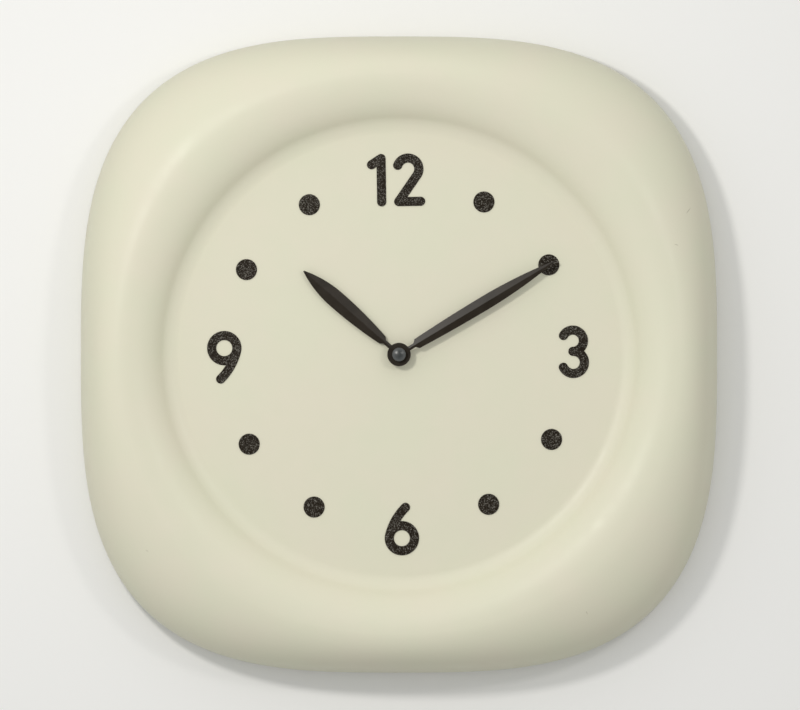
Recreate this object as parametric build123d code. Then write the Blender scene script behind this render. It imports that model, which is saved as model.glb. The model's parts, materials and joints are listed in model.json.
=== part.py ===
from build123d import *
import math
import os

# Sizes are in millimetres and angles in degrees. The clock is drawn on its back: x to the
# right and y up on the dial, z towards the viewer, with the wall at z = 0 and the hands' axis
# at x = y = 0. It is stood up at the end.

# Case shell: a cushion with a square outline, a round crest and a round sunk dial
CASE_HALF_WIDTH = 150.0
RIM_WIDTH = 46.5
RIM_RISE = 14.0
CREST_ARC_RADIUS = 24.0
DIAL_FILLET_RADIUS = 10.0
SKIRT_HEIGHT = 9.0
SHELL_WALL = 2.5
OUTLINE_POWER = 3.12
CORNER_BLEND_POWER = 3
OCTANTS = 8
OCTANT_STEPS = 4
SKIRT_STEPS = 2
FLANK_STEPS = 6
CREST_STEPS = 4
FILLET_STEPS = 3

# Rear cover with its wall hanger and its window for the movement
COVER_THICKNESS = 2.5
COVER_GAP = 0.3
COVER_SCREW_COUNT = 8
COVER_SCREW_FIRST_ANGLE = 22.5
SCREW_WELL_FLOOR = 1.8
SCREW_WELL_WALL = 1.6
WINDOW_ROOM = 4.0
WINDOW_CORNER_RADIUS = 5.0
COLLAR_WALL = 1.6
COLLAR_GAP = 0.5
HANGER_RISE = 85.0
KEYHOLE_RADIUS = 4.5
KEYHOLE_SLOT_WIDTH = 4.6
KEYHOLE_SLOT_RISE = 9.0

# Screws, all self tapping with a cross recess
COVER_SCREW_RADIUS = 1.5
COVER_SCREW_LENGTH = 12.0
COVER_HEAD_RADIUS = 3.0
COVER_HEAD_HEIGHT = 2.2
COVER_HEAD_SINK = 1.2
MOVEMENT_SCREW_RADIUS = 1.3
MOVEMENT_SCREW_LENGTH = 7.5
MOVEMENT_HEAD_RADIUS = 2.6
MOVEMENT_HEAD_HEIGHT = 1.8
SCREW_FIT = 0.05
SCREW_CLEARANCE = 0.2
BOSS_WALL = 2.5
RECESS_WIDTH_SHARE = 0.2
RECESS_SPAN_SHARE = 1.2
RECESS_DEPTH_SHARE = 0.5
BOSS_BITE_SHARE = 0.5

# Dial print: four numerals and eight dots, a little out of true on the case
PRINT_THICKNESS = 0.4
PRINT_MARGIN = 21.5
PRINT_TURN = 0.9
NUMERAL_HEIGHT = 24.7
NUMERAL_STROKE = 4.3
DOT_RADIUS = 4.95
HOURS = 12
HOURS_PER_NUMERAL = 3

# Numeral strokes, as shares of the height of the stroke's middle line, from the middle
ONE_STEM_TOP_SHARES = (-0.343, 0.5)
ONE_STEM_FOOT_SHARES = (-0.343, -0.5)
ONE_FLAG_SHARES = (-0.564, 0.358)
TWO_BOW_CENTRE_SHARES = (0.2745, 0.25)
TWO_BOW_RADIUS_SHARE = 0.25
TWO_BOW_START = 160.0
TWO_BOW_SWEEP = -198.0
TWO_HEEL_SHARES = (0.049, -0.5)
TWO_TOE_SHARES = (0.554, -0.5)
THREE_UPPER_CENTRE_SHARES = (-0.0147, 0.255)
THREE_UPPER_RADIUS_SHARE = 0.245
THREE_UPPER_START = 150.0
THREE_UPPER_SWEEP = -240.0
THREE_LOWER_CENTRE_SHARES = (-0.0098, -0.245)
THREE_LOWER_RADIUS_SHARE = 0.255
THREE_LOWER_START = 90.0
THREE_LOWER_SWEEP = -245.0
SIX_BOWL_CENTRE_SHARES = (0.0, -0.21)
SIX_BOWL_RADIUS_SHARE = 0.29
SIX_STEM_LEAVES = 165.0
SIX_STEM_END_SHARES = (0.0946, 0.5)

# Hands: ridged sheet leaves on round hubs, with brass collets and a domed cap
HOUR_HAND_TIP_GAP = 22.5
HOUR_HAND_ANGLE = 311.2
HOUR_NECK_HALF_WIDTH = 1.05
HOUR_SHOULDER_REACH = 10.3
HOUR_SHOULDER_HALF_WIDTH = 2.2
HOUR_WIDEST_HALF_WIDTH = 4.15
HOUR_WIDEST_SHARE = 0.66
MINUTE_HAND_TIP_GAP = 18.3
MINUTE_HAND_ANGLE = 59.05
MINUTE_NECK_HALF_WIDTH = 1.05
MINUTE_SHOULDER_REACH = 9.9
MINUTE_SHOULDER_HALF_WIDTH = 2.45
MINUTE_WIDEST_HALF_WIDTH = 3.35
MINUTE_WIDEST_SHARE = 0.55
HAND_TIP_HALF_WIDTH = 0.25
HAND_SHOULDER_RUN = 1.4
HAND_SHEET = 0.5
HAND_RIDGE_ANGLE = 12.0
HAND_HUB_RADIUS = 5.5
COLLET_WALL = 1.0
COLLET_FLANGE = 1.0
COLLET_FLANGE_HEIGHT = 0.6
COLLET_HEIGHT = 2.2
CAP_RADIUS = 3.2
CAP_SKIRT = 1.8
CAP_DOME = 0.6
CAP_EDGE_RADIUS = 0.5
CAP_BORE_DEPTH = 1.4
HAND_AIR = 0.8
PRESS_FIT = 0.02

# Movement case
BATTERY_DIAMETER = 14.2
BATTERY_LENGTH = 49.2
BATTERY_NUB_RADIUS = 2.6
BATTERY_NUB_LENGTH = 1.1
BATTERY_EDGE_RADIUS = 0.8
BATTERY_ROOM = 0.4
BATTERY_SINK = 0.8
BATTERY_SEAT_GAP = 0.3
CONTACT_ROOM = 1.65
HOUSING_WALL = 1.2
LID_FIT = 0.1
WALL_TO_MOVEMENT = 7.0
PAD_WIDTH = 2.4
PAD_DEPTH = 1.2
PAD_OFFSET = 12.0
EAR_HALF_WIDTH = 4.5
EAR_THICKNESS = 2.0
EAR_BOSS_HEIGHT = 8.0
BUSH_RADIUS = 4.0
BUSH_RISE = 1.2
BUSH_HOLE_GAP = 0.2

# Gear train: tooth counts, centre distances and their directions
ROTOR_PINION_TEETH = 10
FIFTH_WHEEL_TEETH = 50
FIFTH_PINION_TEETH = 10
SECOND_WHEEL_TEETH = 60
SECOND_PINION_TEETH = 8
THIRD_WHEEL_TEETH = 60
THIRD_PINION_TEETH = 8
CENTRE_WHEEL_TEETH = 64
CANNON_TEETH = 10
MINUTE_WHEEL_TEETH = 30
MINUTE_PINION_TEETH = 8
HOUR_WHEEL_TEETH = 32
KNOB_PINION_TEETH = 10
THIRD_DISTANCE = 10.2
FIFTH_DISTANCE = 10.5
ROTOR_DISTANCE = 7.5
MINUTE_WHEEL_DISTANCE = 9.6
THIRD_DIRECTION = 60.0
FIFTH_DIRECTION = 150.0
ROTOR_DIRECTION = 100.0
MINUTE_DIRECTION = 10.0
KNOB_DIRECTION = -25.0
WHEEL_ADDENDUM_SHARE = 0.9
WHEEL_DEDENDUM_SHARE = 1.2
WHEEL_ROOT_SHARE = 0.26
WHEEL_TIP_SHARE = 0.08
PINION_ADDENDUM_SHARE = 0.8
PINION_DEDENDUM_SHARE = 1.3
PINION_ROOT_SHARE = 0.17
PINION_TIP_SHARE = 0.09
TOOTH_CENTRING_SHARE = 0.5

# Gear train: layers, arbors and pipes
MOTION_WHEEL_THICKNESS = 1.0
TRAIN_WHEEL_THICKNESS = 0.8
LAYER_GAP = 0.4
END_SHAKE = 0.3
RUNNING_CLEARANCE = 0.04
ARBOR_RADIUS = 0.5
HOUR_PIPE_RADIUS = 2.5
CANNON_PIPE_RADIUS = 1.65
CANNON_BORE_RADIUS = 0.65
PIPE_WALL_CLEARANCE = 0.05
HOUR_PIPE_RISE = 4.0
PIVOT_DEPTH = 1.2
PIVOT_END_GAP = 0.2
PIVOT_BOSS_WALL = 0.9
WHEEL_ROOM = 1.5
CHAMBER_END_GAP = 3.2
TRAIN_PLATE_THICKNESS = 1.0
TRAIN_PLATE_MARGIN = 6.0
POST_RADIUS = 1.3
POST_INSET = 2.0

# Setting knob
KNOB_SHAFT_RADIUS = 1.2
KNOB_RADIUS = 6.0
KNOB_HEIGHT = 3.6
KNOB_LIFT = 0.4
KNOB_RIB_COUNT = 28
KNOB_RIB_DEPTH_SHARE = 0.07
KNOB_RIB_ROOT_SHARE = 0.42
KNOB_RIB_TIP_SHARE = 0.18

# Step motor and circuit
MAGNET_RADIUS = 2.1
MAGNET_AIR = 0.4
STATOR_THICKNESS = 1.5
STATOR_BRIDGE = 0.8
STATOR_LEG_WIDTH = 3.0
STATOR_LEFT_REACH = 9.0
STATOR_RIGHT_REACH = 13.8
COIL_RISE = 8.9
CORE_WIDTH = 2.2
CORE_THICKNESS = 1.0
BOBBIN_WALL = 0.6
BOBBIN_FLANGE = 0.7
COIL_RADIUS = 3.6
COIL_END_GAP = 0.3
COIL_ROOM = 0.9
BOARD_WIDTH = 9.6
BOARD_HEIGHT = 17.5
BOARD_THICKNESS = 0.8
BOARD_STANDOFF = 0.5
BOARD_EDGE_GAP = 0.6
BOARD_PAD_RADIUS = 1.5
CRYSTAL_RADIUS = 1.0
CRYSTAL_LENGTH = 6.0
CRYSTAL_PLACE_SHARE = 0.28
CHIP_RADIUS = 2.6
CHIP_HEIGHT = 1.1
CHIP_PLACE_SHARE = 0.3
CONTACT_SHEET = 0.4
CONTACT_HALF_HEIGHT = 4.0
CONTACT_STRIP_WIDTH = 2.0
CONTACT_STRIP_INSET = 0.4
CONTACT_TONGUE_REACH = 2.4
CONTACT_LEAF_REACH = 1.1
CONTACT_NOTCH_GAP = 0.1

# One overrun for every cut, and how a cylinder stands on its lower face
OVERRUN = 1.0
ON_BASE = (Align.CENTER, Align.CENTER, Align.MIN)


# Levels and places worked out from the sizes above
DIAL_FLAT_RADIUS = CASE_HALF_WIDTH - RIM_WIDTH
RIM_TURN = math.acos(1 - RIM_RISE / (CREST_ARC_RADIUS + DIAL_FILLET_RADIUS))
CREST_RADIUS = DIAL_FLAT_RADIUS + (CREST_ARC_RADIUS + DIAL_FILLET_RADIUS) * math.sin(RIM_TURN)
MOVEMENT_DEPTH = HOUSING_WALL + BATTERY_SEAT_GAP + BATTERY_DIAMETER + BATTERY_SINK
MOVEMENT_REAR = WALL_TO_MOVEMENT
MOVEMENT_FRONT = MOVEMENT_REAR + MOVEMENT_DEPTH
LID_INNER = MOVEMENT_REAR + HOUSING_WALL
FRONT_INNER = MOVEMENT_FRONT - HOUSING_WALL
DIAL_LEVEL = MOVEMENT_FRONT + SHELL_WALL
CREST_LEVEL = DIAL_LEVEL + RIM_RISE
PRINT_RADIUS = DIAL_FLAT_RADIUS - PRINT_MARGIN
HOUR_HAND_LENGTH = PRINT_RADIUS - HOUR_HAND_TIP_GAP
MINUTE_HAND_LENGTH = DIAL_FLAT_RADIUS - MINUTE_HAND_TIP_GAP

WELL_DEPTH = COVER_HEAD_HEIGHT + COVER_HEAD_SINK
WELL_END = WELL_DEPTH + SCREW_WELL_FLOOR

HOUR_LAYER = FRONT_INNER - END_SHAKE - MOTION_WHEEL_THICKNESS
MINUTE_LAYER = HOUR_LAYER - END_SHAKE - MOTION_WHEEL_THICKNESS
PLATE_FRONT = MINUTE_LAYER - LAYER_GAP
PLATE_REAR = PLATE_FRONT - TRAIN_PLATE_THICKNESS
CENTRE_LAYER = PLATE_REAR - LAYER_GAP - TRAIN_WHEEL_THICKNESS
THIRD_LAYER = CENTRE_LAYER - LAYER_GAP - TRAIN_WHEEL_THICKNESS
SECOND_LAYER = THIRD_LAYER - LAYER_GAP - TRAIN_WHEEL_THICKNESS
FIFTH_LAYER = SECOND_LAYER - LAYER_GAP - TRAIN_WHEEL_THICKNESS
STATOR_FRONT = FIFTH_LAYER - LAYER_GAP
STATOR_REAR = STATOR_FRONT - STATOR_THICKNESS
PIVOT_BOSS_END = STATOR_REAR - LAYER_GAP
PIVOT_BOSS_RADIUS = ARBOR_RADIUS + RUNNING_CLEARANCE + PIVOT_BOSS_WALL

HOUR_PIPE_END = DIAL_LEVEL + HOUR_PIPE_RISE
HOUR_COLLET_BASE = HOUR_PIPE_END - COLLET_HEIGHT
HOUR_HAND_BASE = HOUR_COLLET_BASE + COLLET_FLANGE_HEIGHT
MINUTE_COLLET_BASE = HOUR_PIPE_END + HAND_AIR
MINUTE_HAND_BASE = MINUTE_COLLET_BASE + COLLET_FLANGE_HEIGHT
MINUTE_COLLET_END = MINUTE_COLLET_BASE + COLLET_HEIGHT
CANNON_PIPE_END = MINUTE_COLLET_END + CAP_BORE_DEPTH - PRESS_FIT


def polar(distance, direction):
    """Point at a distance and direction, in degrees, from the hands' axis."""
    return Vector(
        distance * math.cos(math.radians(direction)),
        distance * math.sin(math.radians(direction)),
        0,
    )


CENTRE_PLACE = polar(0, 0)
THIRD_PLACE = polar(THIRD_DISTANCE, THIRD_DIRECTION)
FIFTH_PLACE = polar(FIFTH_DISTANCE, FIFTH_DIRECTION)
ROTOR_PLACE = FIFTH_PLACE + polar(ROTOR_DISTANCE, ROTOR_DIRECTION)
MINUTE_PLACE = polar(MINUTE_WHEEL_DISTANCE, MINUTE_DIRECTION)
KNOB_PLACE = MINUTE_PLACE + polar(MINUTE_WHEEL_DISTANCE, KNOB_DIRECTION)


def tooth_module(distance, teeth_one, teeth_two):
    """Tooth size that lets two wheels mesh at a centre distance."""
    return 2 * distance / (teeth_one + teeth_two)


ROTOR_MODULE = tooth_module(ROTOR_DISTANCE, ROTOR_PINION_TEETH, FIFTH_WHEEL_TEETH)
FIFTH_MODULE = tooth_module(FIFTH_DISTANCE, FIFTH_PINION_TEETH, SECOND_WHEEL_TEETH)
SECOND_MODULE = tooth_module(THIRD_DISTANCE, SECOND_PINION_TEETH, THIRD_WHEEL_TEETH)
THIRD_MODULE = tooth_module(THIRD_DISTANCE, THIRD_PINION_TEETH, CENTRE_WHEEL_TEETH)
CANNON_MODULE = tooth_module(MINUTE_WHEEL_DISTANCE, CANNON_TEETH, MINUTE_WHEEL_TEETH)
MINUTE_MODULE = tooth_module(MINUTE_WHEEL_DISTANCE, MINUTE_PINION_TEETH, HOUR_WHEEL_TEETH)


def wheel_tip_radius(teeth, module):
    """Outer radius of a wheel."""
    return module * (teeth / 2 + WHEEL_ADDENDUM_SHARE)


LARGEST_TIP = max(
    wheel_tip_radius(CENTRE_WHEEL_TEETH, THIRD_MODULE),
    wheel_tip_radius(SECOND_WHEEL_TEETH, FIFTH_MODULE),
    wheel_tip_radius(HOUR_WHEEL_TEETH, MINUTE_MODULE),
)
PLATE_LEFT = min(FIFTH_PLACE.X, ROTOR_PLACE.X) - TRAIN_PLATE_MARGIN
PLATE_RIGHT = KNOB_PLACE.X + TRAIN_PLATE_MARGIN
PLATE_LOW = KNOB_PLACE.Y - TRAIN_PLATE_MARGIN
PLATE_HIGH = ROTOR_PLACE.Y + TRAIN_PLATE_MARGIN
POST_PLACES = [
    Vector(x, y, 0)
    for x in (PLATE_LEFT + POST_INSET, PLATE_RIGHT - POST_INSET)
    for y in (PLATE_LOW + POST_INSET, PLATE_HIGH - POST_INSET)
]

COIL_PLACE_Y = ROTOR_PLACE.Y + COIL_RISE
CHAMBER_LOW = -LARGEST_TIP - WHEEL_ROOM
CHAMBER_HIGH = COIL_PLACE_Y + COIL_RADIUS + COIL_ROOM
CHAMBER_HALF_WIDTH = PLATE_RIGHT + CHAMBER_END_GAP
BAY_HIGH = CHAMBER_LOW - HOUSING_WALL
BAY_LOW = BAY_HIGH - BATTERY_DIAMETER - 2 * BATTERY_ROOM
BAY_HALF_WIDTH = (BATTERY_LENGTH + BATTERY_NUB_LENGTH) / 2 + CONTACT_ROOM
BATTERY_PLACE_Y = (BAY_HIGH + BAY_LOW) / 2
BATTERY_AXIS = FRONT_INNER - BATTERY_SEAT_GAP - BATTERY_DIAMETER / 2
BAY_OUTER_HALF_WIDTH = BAY_HALF_WIDTH + HOUSING_WALL
HOUSING_HALF_WIDTH = CHAMBER_HALF_WIDTH + HOUSING_WALL
HOUSING_LOW = BAY_LOW - HOUSING_WALL
HOUSING_HIGH = CHAMBER_HIGH + HOUSING_WALL
EAR_PLACE_X = HOUSING_HALF_WIDTH + EAR_HALF_WIDTH
EAR_FRONT = MOVEMENT_FRONT - EAR_BOSS_HEIGHT
EAR_REAR = EAR_FRONT - EAR_THICKNESS

STATOR_HOLE_RADIUS = MAGNET_RADIUS + MAGNET_AIR
STATOR_BAR_HALF = STATOR_HOLE_RADIUS + STATOR_BRIDGE
STATOR_LEFT = ROTOR_PLACE.X - STATOR_LEFT_REACH
STATOR_RIGHT = ROTOR_PLACE.X + STATOR_RIGHT_REACH
STATOR_TOP = COIL_PLACE_Y + STATOR_LEG_WIDTH / 2
CORE_REAR = STATOR_FRONT
CORE_AXIS = CORE_REAR + CORE_THICKNESS / 2

BOARD_LEFT = -CHAMBER_HALF_WIDTH + BOARD_EDGE_GAP
BOARD_RIGHT = BOARD_LEFT + BOARD_WIDTH
BOARD_LOW = CHAMBER_LOW + BOARD_EDGE_GAP
BOARD_HIGH = BOARD_LOW + BOARD_HEIGHT
BOARD_FRONT = FRONT_INNER - BOARD_STANDOFF
BOARD_REAR = BOARD_FRONT - BOARD_THICKNESS
BOARD_MIDDLE = (BOARD_LEFT + BOARD_RIGHT) / 2

WINDOW_HALF_WIDTH = max(HOUSING_HALF_WIDTH, BAY_OUTER_HALF_WIDTH) + WINDOW_ROOM
WINDOW_LOW = HOUSING_LOW - WINDOW_ROOM
WINDOW_HIGH = HOUSING_HIGH + WINDOW_ROOM
COVER_HALF_WIDTH = CASE_HALF_WIDTH - SHELL_WALL - COVER_GAP


# Small building helpers


def rod(place, low, high, radius):
    """Upright cylinder between two levels."""
    return Pos(place.X, place.Y, low) * Cylinder(radius, high - low, align=ON_BASE)


def tube(place, low, high, radius, bore_radius):
    """Upright cylinder with a through bore."""
    bore = rod(place, low - OVERRUN, high + OVERRUN, bore_radius)
    return rod(place, low, high, radius) - bore


def block(left, right, low, high, rear, front):
    """Box between its six faces."""
    middle = Pos((left + right) / 2, (low + high) / 2, (rear + front) / 2)
    return middle * Box(right - left, high - low, front - rear)


def raised(face, low, high):
    """Flat face pulled up between two levels."""
    return Pos(0, 0, low) * extrude(face, amount=high - low)


def screw(head_radius, head_height, shank_radius, length):
    """Pan head screw with its shank up and the underside of its head at level zero."""
    head = Pos(0, 0, -head_height) * Cylinder(head_radius, head_height, align=ON_BASE)
    shank = Cylinder(shank_radius, length, align=ON_BASE)
    span = RECESS_SPAN_SHARE * head_radius
    width = RECESS_WIDTH_SHARE * head_radius
    depth = RECESS_DEPTH_SHARE * head_height
    bar = Box(span, width, 2 * depth)
    recess = bar + Rot(0, 0, 90) * bar
    return head + shank - Pos(0, 0, -head_height) * recess


# Case shell and rear cover


def outline_radius(angle, half_width):
    """Distance from the axis to the soft square outline at an angle in degrees."""
    across = abs(math.cos(math.radians(angle))) ** OUTLINE_POWER
    upward = abs(math.sin(math.radians(angle))) ** OUTLINE_POWER
    return half_width / (across + upward) ** (1 / OUTLINE_POWER)


def ring_radius(side_radius, half_width, angle):
    """Radius of one ring of the cushion, round at the dial and square at the outline."""
    reach_share = (side_radius - DIAL_FLAT_RADIUS) / (half_width - DIAL_FLAT_RADIUS)
    corner_growth = outline_radius(angle, half_width) - half_width
    return side_radius + reach_share**CORNER_BLEND_POWER * corner_growth


def ring_wire(side_radius, level, half_width):
    """Closed smooth wire of one ring, with an edge for each eighth of a turn."""
    edges = []
    for octant in range(OCTANTS):
        points = []
        for step in range(OCTANT_STEPS + 1):
            angle = 360 * (octant + step / OCTANT_STEPS) / OCTANTS
            place = polar(ring_radius(side_radius, half_width, angle), angle)
            points.append((place.X, place.Y, level))
        ends = (octant, octant + 1)
        tangents = [polar(1, 90 + 360 * end / OCTANTS) for end in ends]
        edges.append(Edge.make_spline(points, tangents=tangents))
    return Wire(edges)


def cushion_profile(inset, base_level):
    """Side section of the cushion, from its rear edge over the crest to the dial's edge."""
    half_width = CASE_HALF_WIDTH - inset
    flank_reach = half_width - CREST_RADIUS
    flank_rise = CREST_LEVEL - inset - SKIRT_HEIGHT
    profile = []
    for step in range(SKIRT_STEPS):
        level = base_level + (SKIRT_HEIGHT - base_level) * step / SKIRT_STEPS
        profile.append((half_width, level))
    for step in range(FLANK_STEPS):
        turn = math.pi / 2 * step / FLANK_STEPS
        reach = CREST_RADIUS + flank_reach * math.cos(turn)
        profile.append((reach, SKIRT_HEIGHT + flank_rise * math.sin(turn)))
    crest_arc = CREST_ARC_RADIUS - inset
    crest_arc_level = CREST_LEVEL - CREST_ARC_RADIUS
    for step in range(CREST_STEPS):
        turn = RIM_TURN * step / CREST_STEPS
        reach = CREST_RADIUS - crest_arc * math.sin(turn)
        profile.append((reach, crest_arc_level + crest_arc * math.cos(turn)))
    fillet_arc = DIAL_FILLET_RADIUS + inset
    fillet_arc_level = DIAL_LEVEL + DIAL_FILLET_RADIUS
    for step in range(FILLET_STEPS + 1):
        turn = RIM_TURN * (1 - step / FILLET_STEPS)
        reach = DIAL_FLAT_RADIUS + fillet_arc * math.sin(turn)
        profile.append((reach, fillet_arc_level - fillet_arc * math.cos(turn)))
    return profile


def cushion(inset, base_level):
    """Solid cushion skinned through its rings, closed flat at the wall and at the dial."""
    half_width = CASE_HALF_WIDTH - inset
    rings = [ring_wire(*point, half_width) for point in cushion_profile(inset, base_level)]
    return Solid.make_loft(rings)


def cover_screw_places():
    """Places of the cover screws, under the crest of the rim."""
    places = []
    for index in range(COVER_SCREW_COUNT):
        angle = COVER_SCREW_FIRST_ANGLE + 360 * index / COVER_SCREW_COUNT
        places.append(polar(ring_radius(CREST_RADIUS, CASE_HALF_WIDTH, angle), angle))
    return places


def ear_places():
    """Places of the two screws that hold the movement to the dial."""
    return [Vector(side * EAR_PLACE_X, 0, 0) for side in (-1, 1)]


def case_shell():
    """One moulded shell: rim, dial, cover bosses and movement bosses."""
    bite = BOSS_BITE_SHARE * SHELL_WALL
    hole_radius = BUSH_RADIUS + BUSH_HOLE_GAP
    bosses = []
    holes = [rod(CENTRE_PLACE, MOVEMENT_FRONT - OVERRUN, DIAL_LEVEL + OVERRUN, hole_radius)]
    for place in cover_screw_places():
        bosses.append(rod(place, WELL_END, CREST_LEVEL - bite, COVER_SCREW_RADIUS + BOSS_WALL))
        hole_end = WELL_END + COVER_SCREW_LENGTH
        holes.append(rod(place, WELL_END - OVERRUN, hole_end, COVER_SCREW_RADIUS + SCREW_FIT))
    for place in ear_places():
        bosses.append(rod(place, EAR_FRONT, DIAL_LEVEL - bite, MOVEMENT_SCREW_RADIUS + BOSS_WALL))
        hole_end = EAR_REAR + MOVEMENT_SCREW_LENGTH + SCREW_CLEARANCE
        holes.append(rod(place, EAR_FRONT - OVERRUN, hole_end, MOVEMENT_SCREW_RADIUS + SCREW_FIT))
    return Part() + cushion(0, 0) - cushion(SHELL_WALL, -OVERRUN) + bosses - holes


def window_face(growth):
    """Round cornered outline of the window in the rear cover, grown all round."""
    width = 2 * (WINDOW_HALF_WIDTH + growth)
    height = WINDOW_HIGH - WINDOW_LOW + 2 * growth
    middle = Pos(0, (WINDOW_HIGH + WINDOW_LOW) / 2, 0)
    return middle * RectangleRounded(width, height, WINDOW_CORNER_RADIUS + growth)


def rear_cover():
    """Flat cover let into the shell, with screw wells, a collared window and a keyhole."""
    outline = Face(ring_wire(COVER_HALF_WIDTH, 0, COVER_HALF_WIDTH))
    cover = raised(outline, 0, COVER_THICKNESS)
    collar_end = MOVEMENT_REAR - COLLAR_GAP
    cover += raised(window_face(COLLAR_WALL), 0, collar_end)
    cover -= raised(window_face(0), -OVERRUN, collar_end + OVERRUN)
    well_radius = COVER_HEAD_RADIUS + SCREW_CLEARANCE
    for place in cover_screw_places():
        cover += rod(place, 0, WELL_END, well_radius + SCREW_WELL_WALL)
        cover -= rod(place, -OVERRUN, WELL_DEPTH, well_radius)
        cover -= rod(place, 0, WELL_END + OVERRUN, COVER_SCREW_RADIUS + SCREW_CLEARANCE)
    entry = Vector(0, HANGER_RISE, 0)
    slot_end = HANGER_RISE + KEYHOLE_SLOT_RISE
    slot_half = KEYHOLE_SLOT_WIDTH / 2
    through = COVER_THICKNESS + OVERRUN
    cover -= rod(entry, -OVERRUN, through, KEYHOLE_RADIUS)
    cover -= rod(Vector(0, slot_end, 0), -OVERRUN, through, slot_half)
    return cover - block(-slot_half, slot_half, HANGER_RISE, slot_end, -OVERRUN, through)


def cover_screws():
    """Screws that hold the rear cover to the bosses under the crest."""
    one = screw(COVER_HEAD_RADIUS, COVER_HEAD_HEIGHT, COVER_SCREW_RADIUS,
                COVER_SCREW_LENGTH - SCREW_CLEARANCE)
    return Compound([Pos(place.X, place.Y, WELL_DEPTH) * one for place in cover_screw_places()])


def movement_screws():
    """Screws through the movement's ears into the bosses behind the dial."""
    one = screw(MOVEMENT_HEAD_RADIUS, MOVEMENT_HEAD_HEIGHT, MOVEMENT_SCREW_RADIUS,
                MOVEMENT_SCREW_LENGTH)
    return Compound([Pos(place.X, place.Y, EAR_REAR) * one for place in ear_places()])


# Dial print


def stroke_point(shares):
    """Point of a numeral from its shares of the middle line's height."""
    middle_height = NUMERAL_HEIGHT - NUMERAL_STROKE
    return (shares[0] * middle_height, shares[1] * middle_height)


def stroke_bow(centre_shares, radius_share, start, sweep):
    """Curved stroke with round ends."""
    radius = radius_share * (NUMERAL_HEIGHT - NUMERAL_STROKE)
    return SlotArc(CenterArc(stroke_point(centre_shares), radius, start, sweep), NUMERAL_STROKE)


def stroke_line(start, end):
    """Straight stroke with round ends."""
    return SlotArc(Line(start, end), NUMERAL_STROKE)


def digit_one():
    """The one, a stem with a flag."""
    top = stroke_point(ONE_STEM_TOP_SHARES)
    stem = stroke_line(top, stroke_point(ONE_STEM_FOOT_SHARES))
    return stem + stroke_line(top, stroke_point(ONE_FLAG_SHARES))


def digit_two():
    """The two, a bow, a slant and a base."""
    bow = stroke_bow(TWO_BOW_CENTRE_SHARES, TWO_BOW_RADIUS_SHARE, TWO_BOW_START, TWO_BOW_SWEEP)
    centre_x, centre_y = stroke_point(TWO_BOW_CENTRE_SHARES)
    radius = TWO_BOW_RADIUS_SHARE * (NUMERAL_HEIGHT - NUMERAL_STROKE)
    bow_end = polar(radius, TWO_BOW_START + TWO_BOW_SWEEP)
    slant_start = (centre_x + bow_end.X, centre_y + bow_end.Y)
    heel = stroke_point(TWO_HEEL_SHARES)
    base = stroke_line(heel, stroke_point(TWO_TOE_SHARES))
    return bow + stroke_line(slant_start, heel) + base


def digit_three():
    """The three, two bows that meet at the waist."""
    upper = stroke_bow(THREE_UPPER_CENTRE_SHARES, THREE_UPPER_RADIUS_SHARE,
                       THREE_UPPER_START, THREE_UPPER_SWEEP)
    lower = stroke_bow(THREE_LOWER_CENTRE_SHARES, THREE_LOWER_RADIUS_SHARE,
                       THREE_LOWER_START, THREE_LOWER_SWEEP)
    return upper + lower


def digit_six():
    """The six, a round bowl with a stem that leaves its left side."""
    centre = stroke_point(SIX_BOWL_CENTRE_SHARES)
    radius = SIX_BOWL_RADIUS_SHARE * (NUMERAL_HEIGHT - NUMERAL_STROKE)
    ring = Circle(radius + NUMERAL_STROKE / 2) - Circle(radius - NUMERAL_STROKE / 2)
    leaving = polar(radius, SIX_STEM_LEAVES)
    start = (centre[0] + leaving.X, centre[1] + leaving.Y)
    heading = polar(1, SIX_STEM_LEAVES - 90)
    arc = TangentArc(start, stroke_point(SIX_STEM_END_SHARES), tangent=(heading.X, heading.Y))
    return Pos(*centre) * ring + SlotArc(arc, NUMERAL_STROKE)


def hour_place(hour):
    """Middle of an hour mark on the dial, turned with the print."""
    return polar(PRINT_RADIUS, 90 - 360 * hour / HOURS + PRINT_TURN)


def numeral(face, hour):
    """Numeral pad lying on the dial at its hour."""
    place = hour_place(hour)
    pad = extrude(face, amount=PRINT_THICKNESS)
    return Pos(place.X, place.Y, DIAL_LEVEL) * Rot(0, 0, PRINT_TURN) * pad


def hour_dots():
    """Round pads at the hours that have no numeral."""
    hours = [hour for hour in range(HOURS) if hour % HOURS_PER_NUMERAL]
    top = DIAL_LEVEL + PRINT_THICKNESS
    return Compound([rod(hour_place(hour), DIAL_LEVEL, top, DOT_RADIUS) for hour in hours])


# Hands


def half_leaf(length, neck, shoulder_reach, shoulder, widest, widest_share):
    """Upper half of a leaf hand that points along x."""
    widest_reach = widest_share * length
    neck_end = shoulder_reach - HAND_SHOULDER_RUN
    root = Polyline((0, 0), (0, neck), (neck_end, neck), (shoulder_reach, shoulder))
    belly = TangentArc((widest_reach, widest), (shoulder_reach, shoulder), tangent=(-1, 0))
    blade = TangentArc((widest_reach, widest), (length, HAND_TIP_HALF_WIDTH), tangent=(1, 0))
    spine = Polyline((length, HAND_TIP_HALF_WIDTH), (length, 0), (0, 0))
    return make_face(root.edges() + belly.edges() + blade.edges() + spine.edges())


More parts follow.
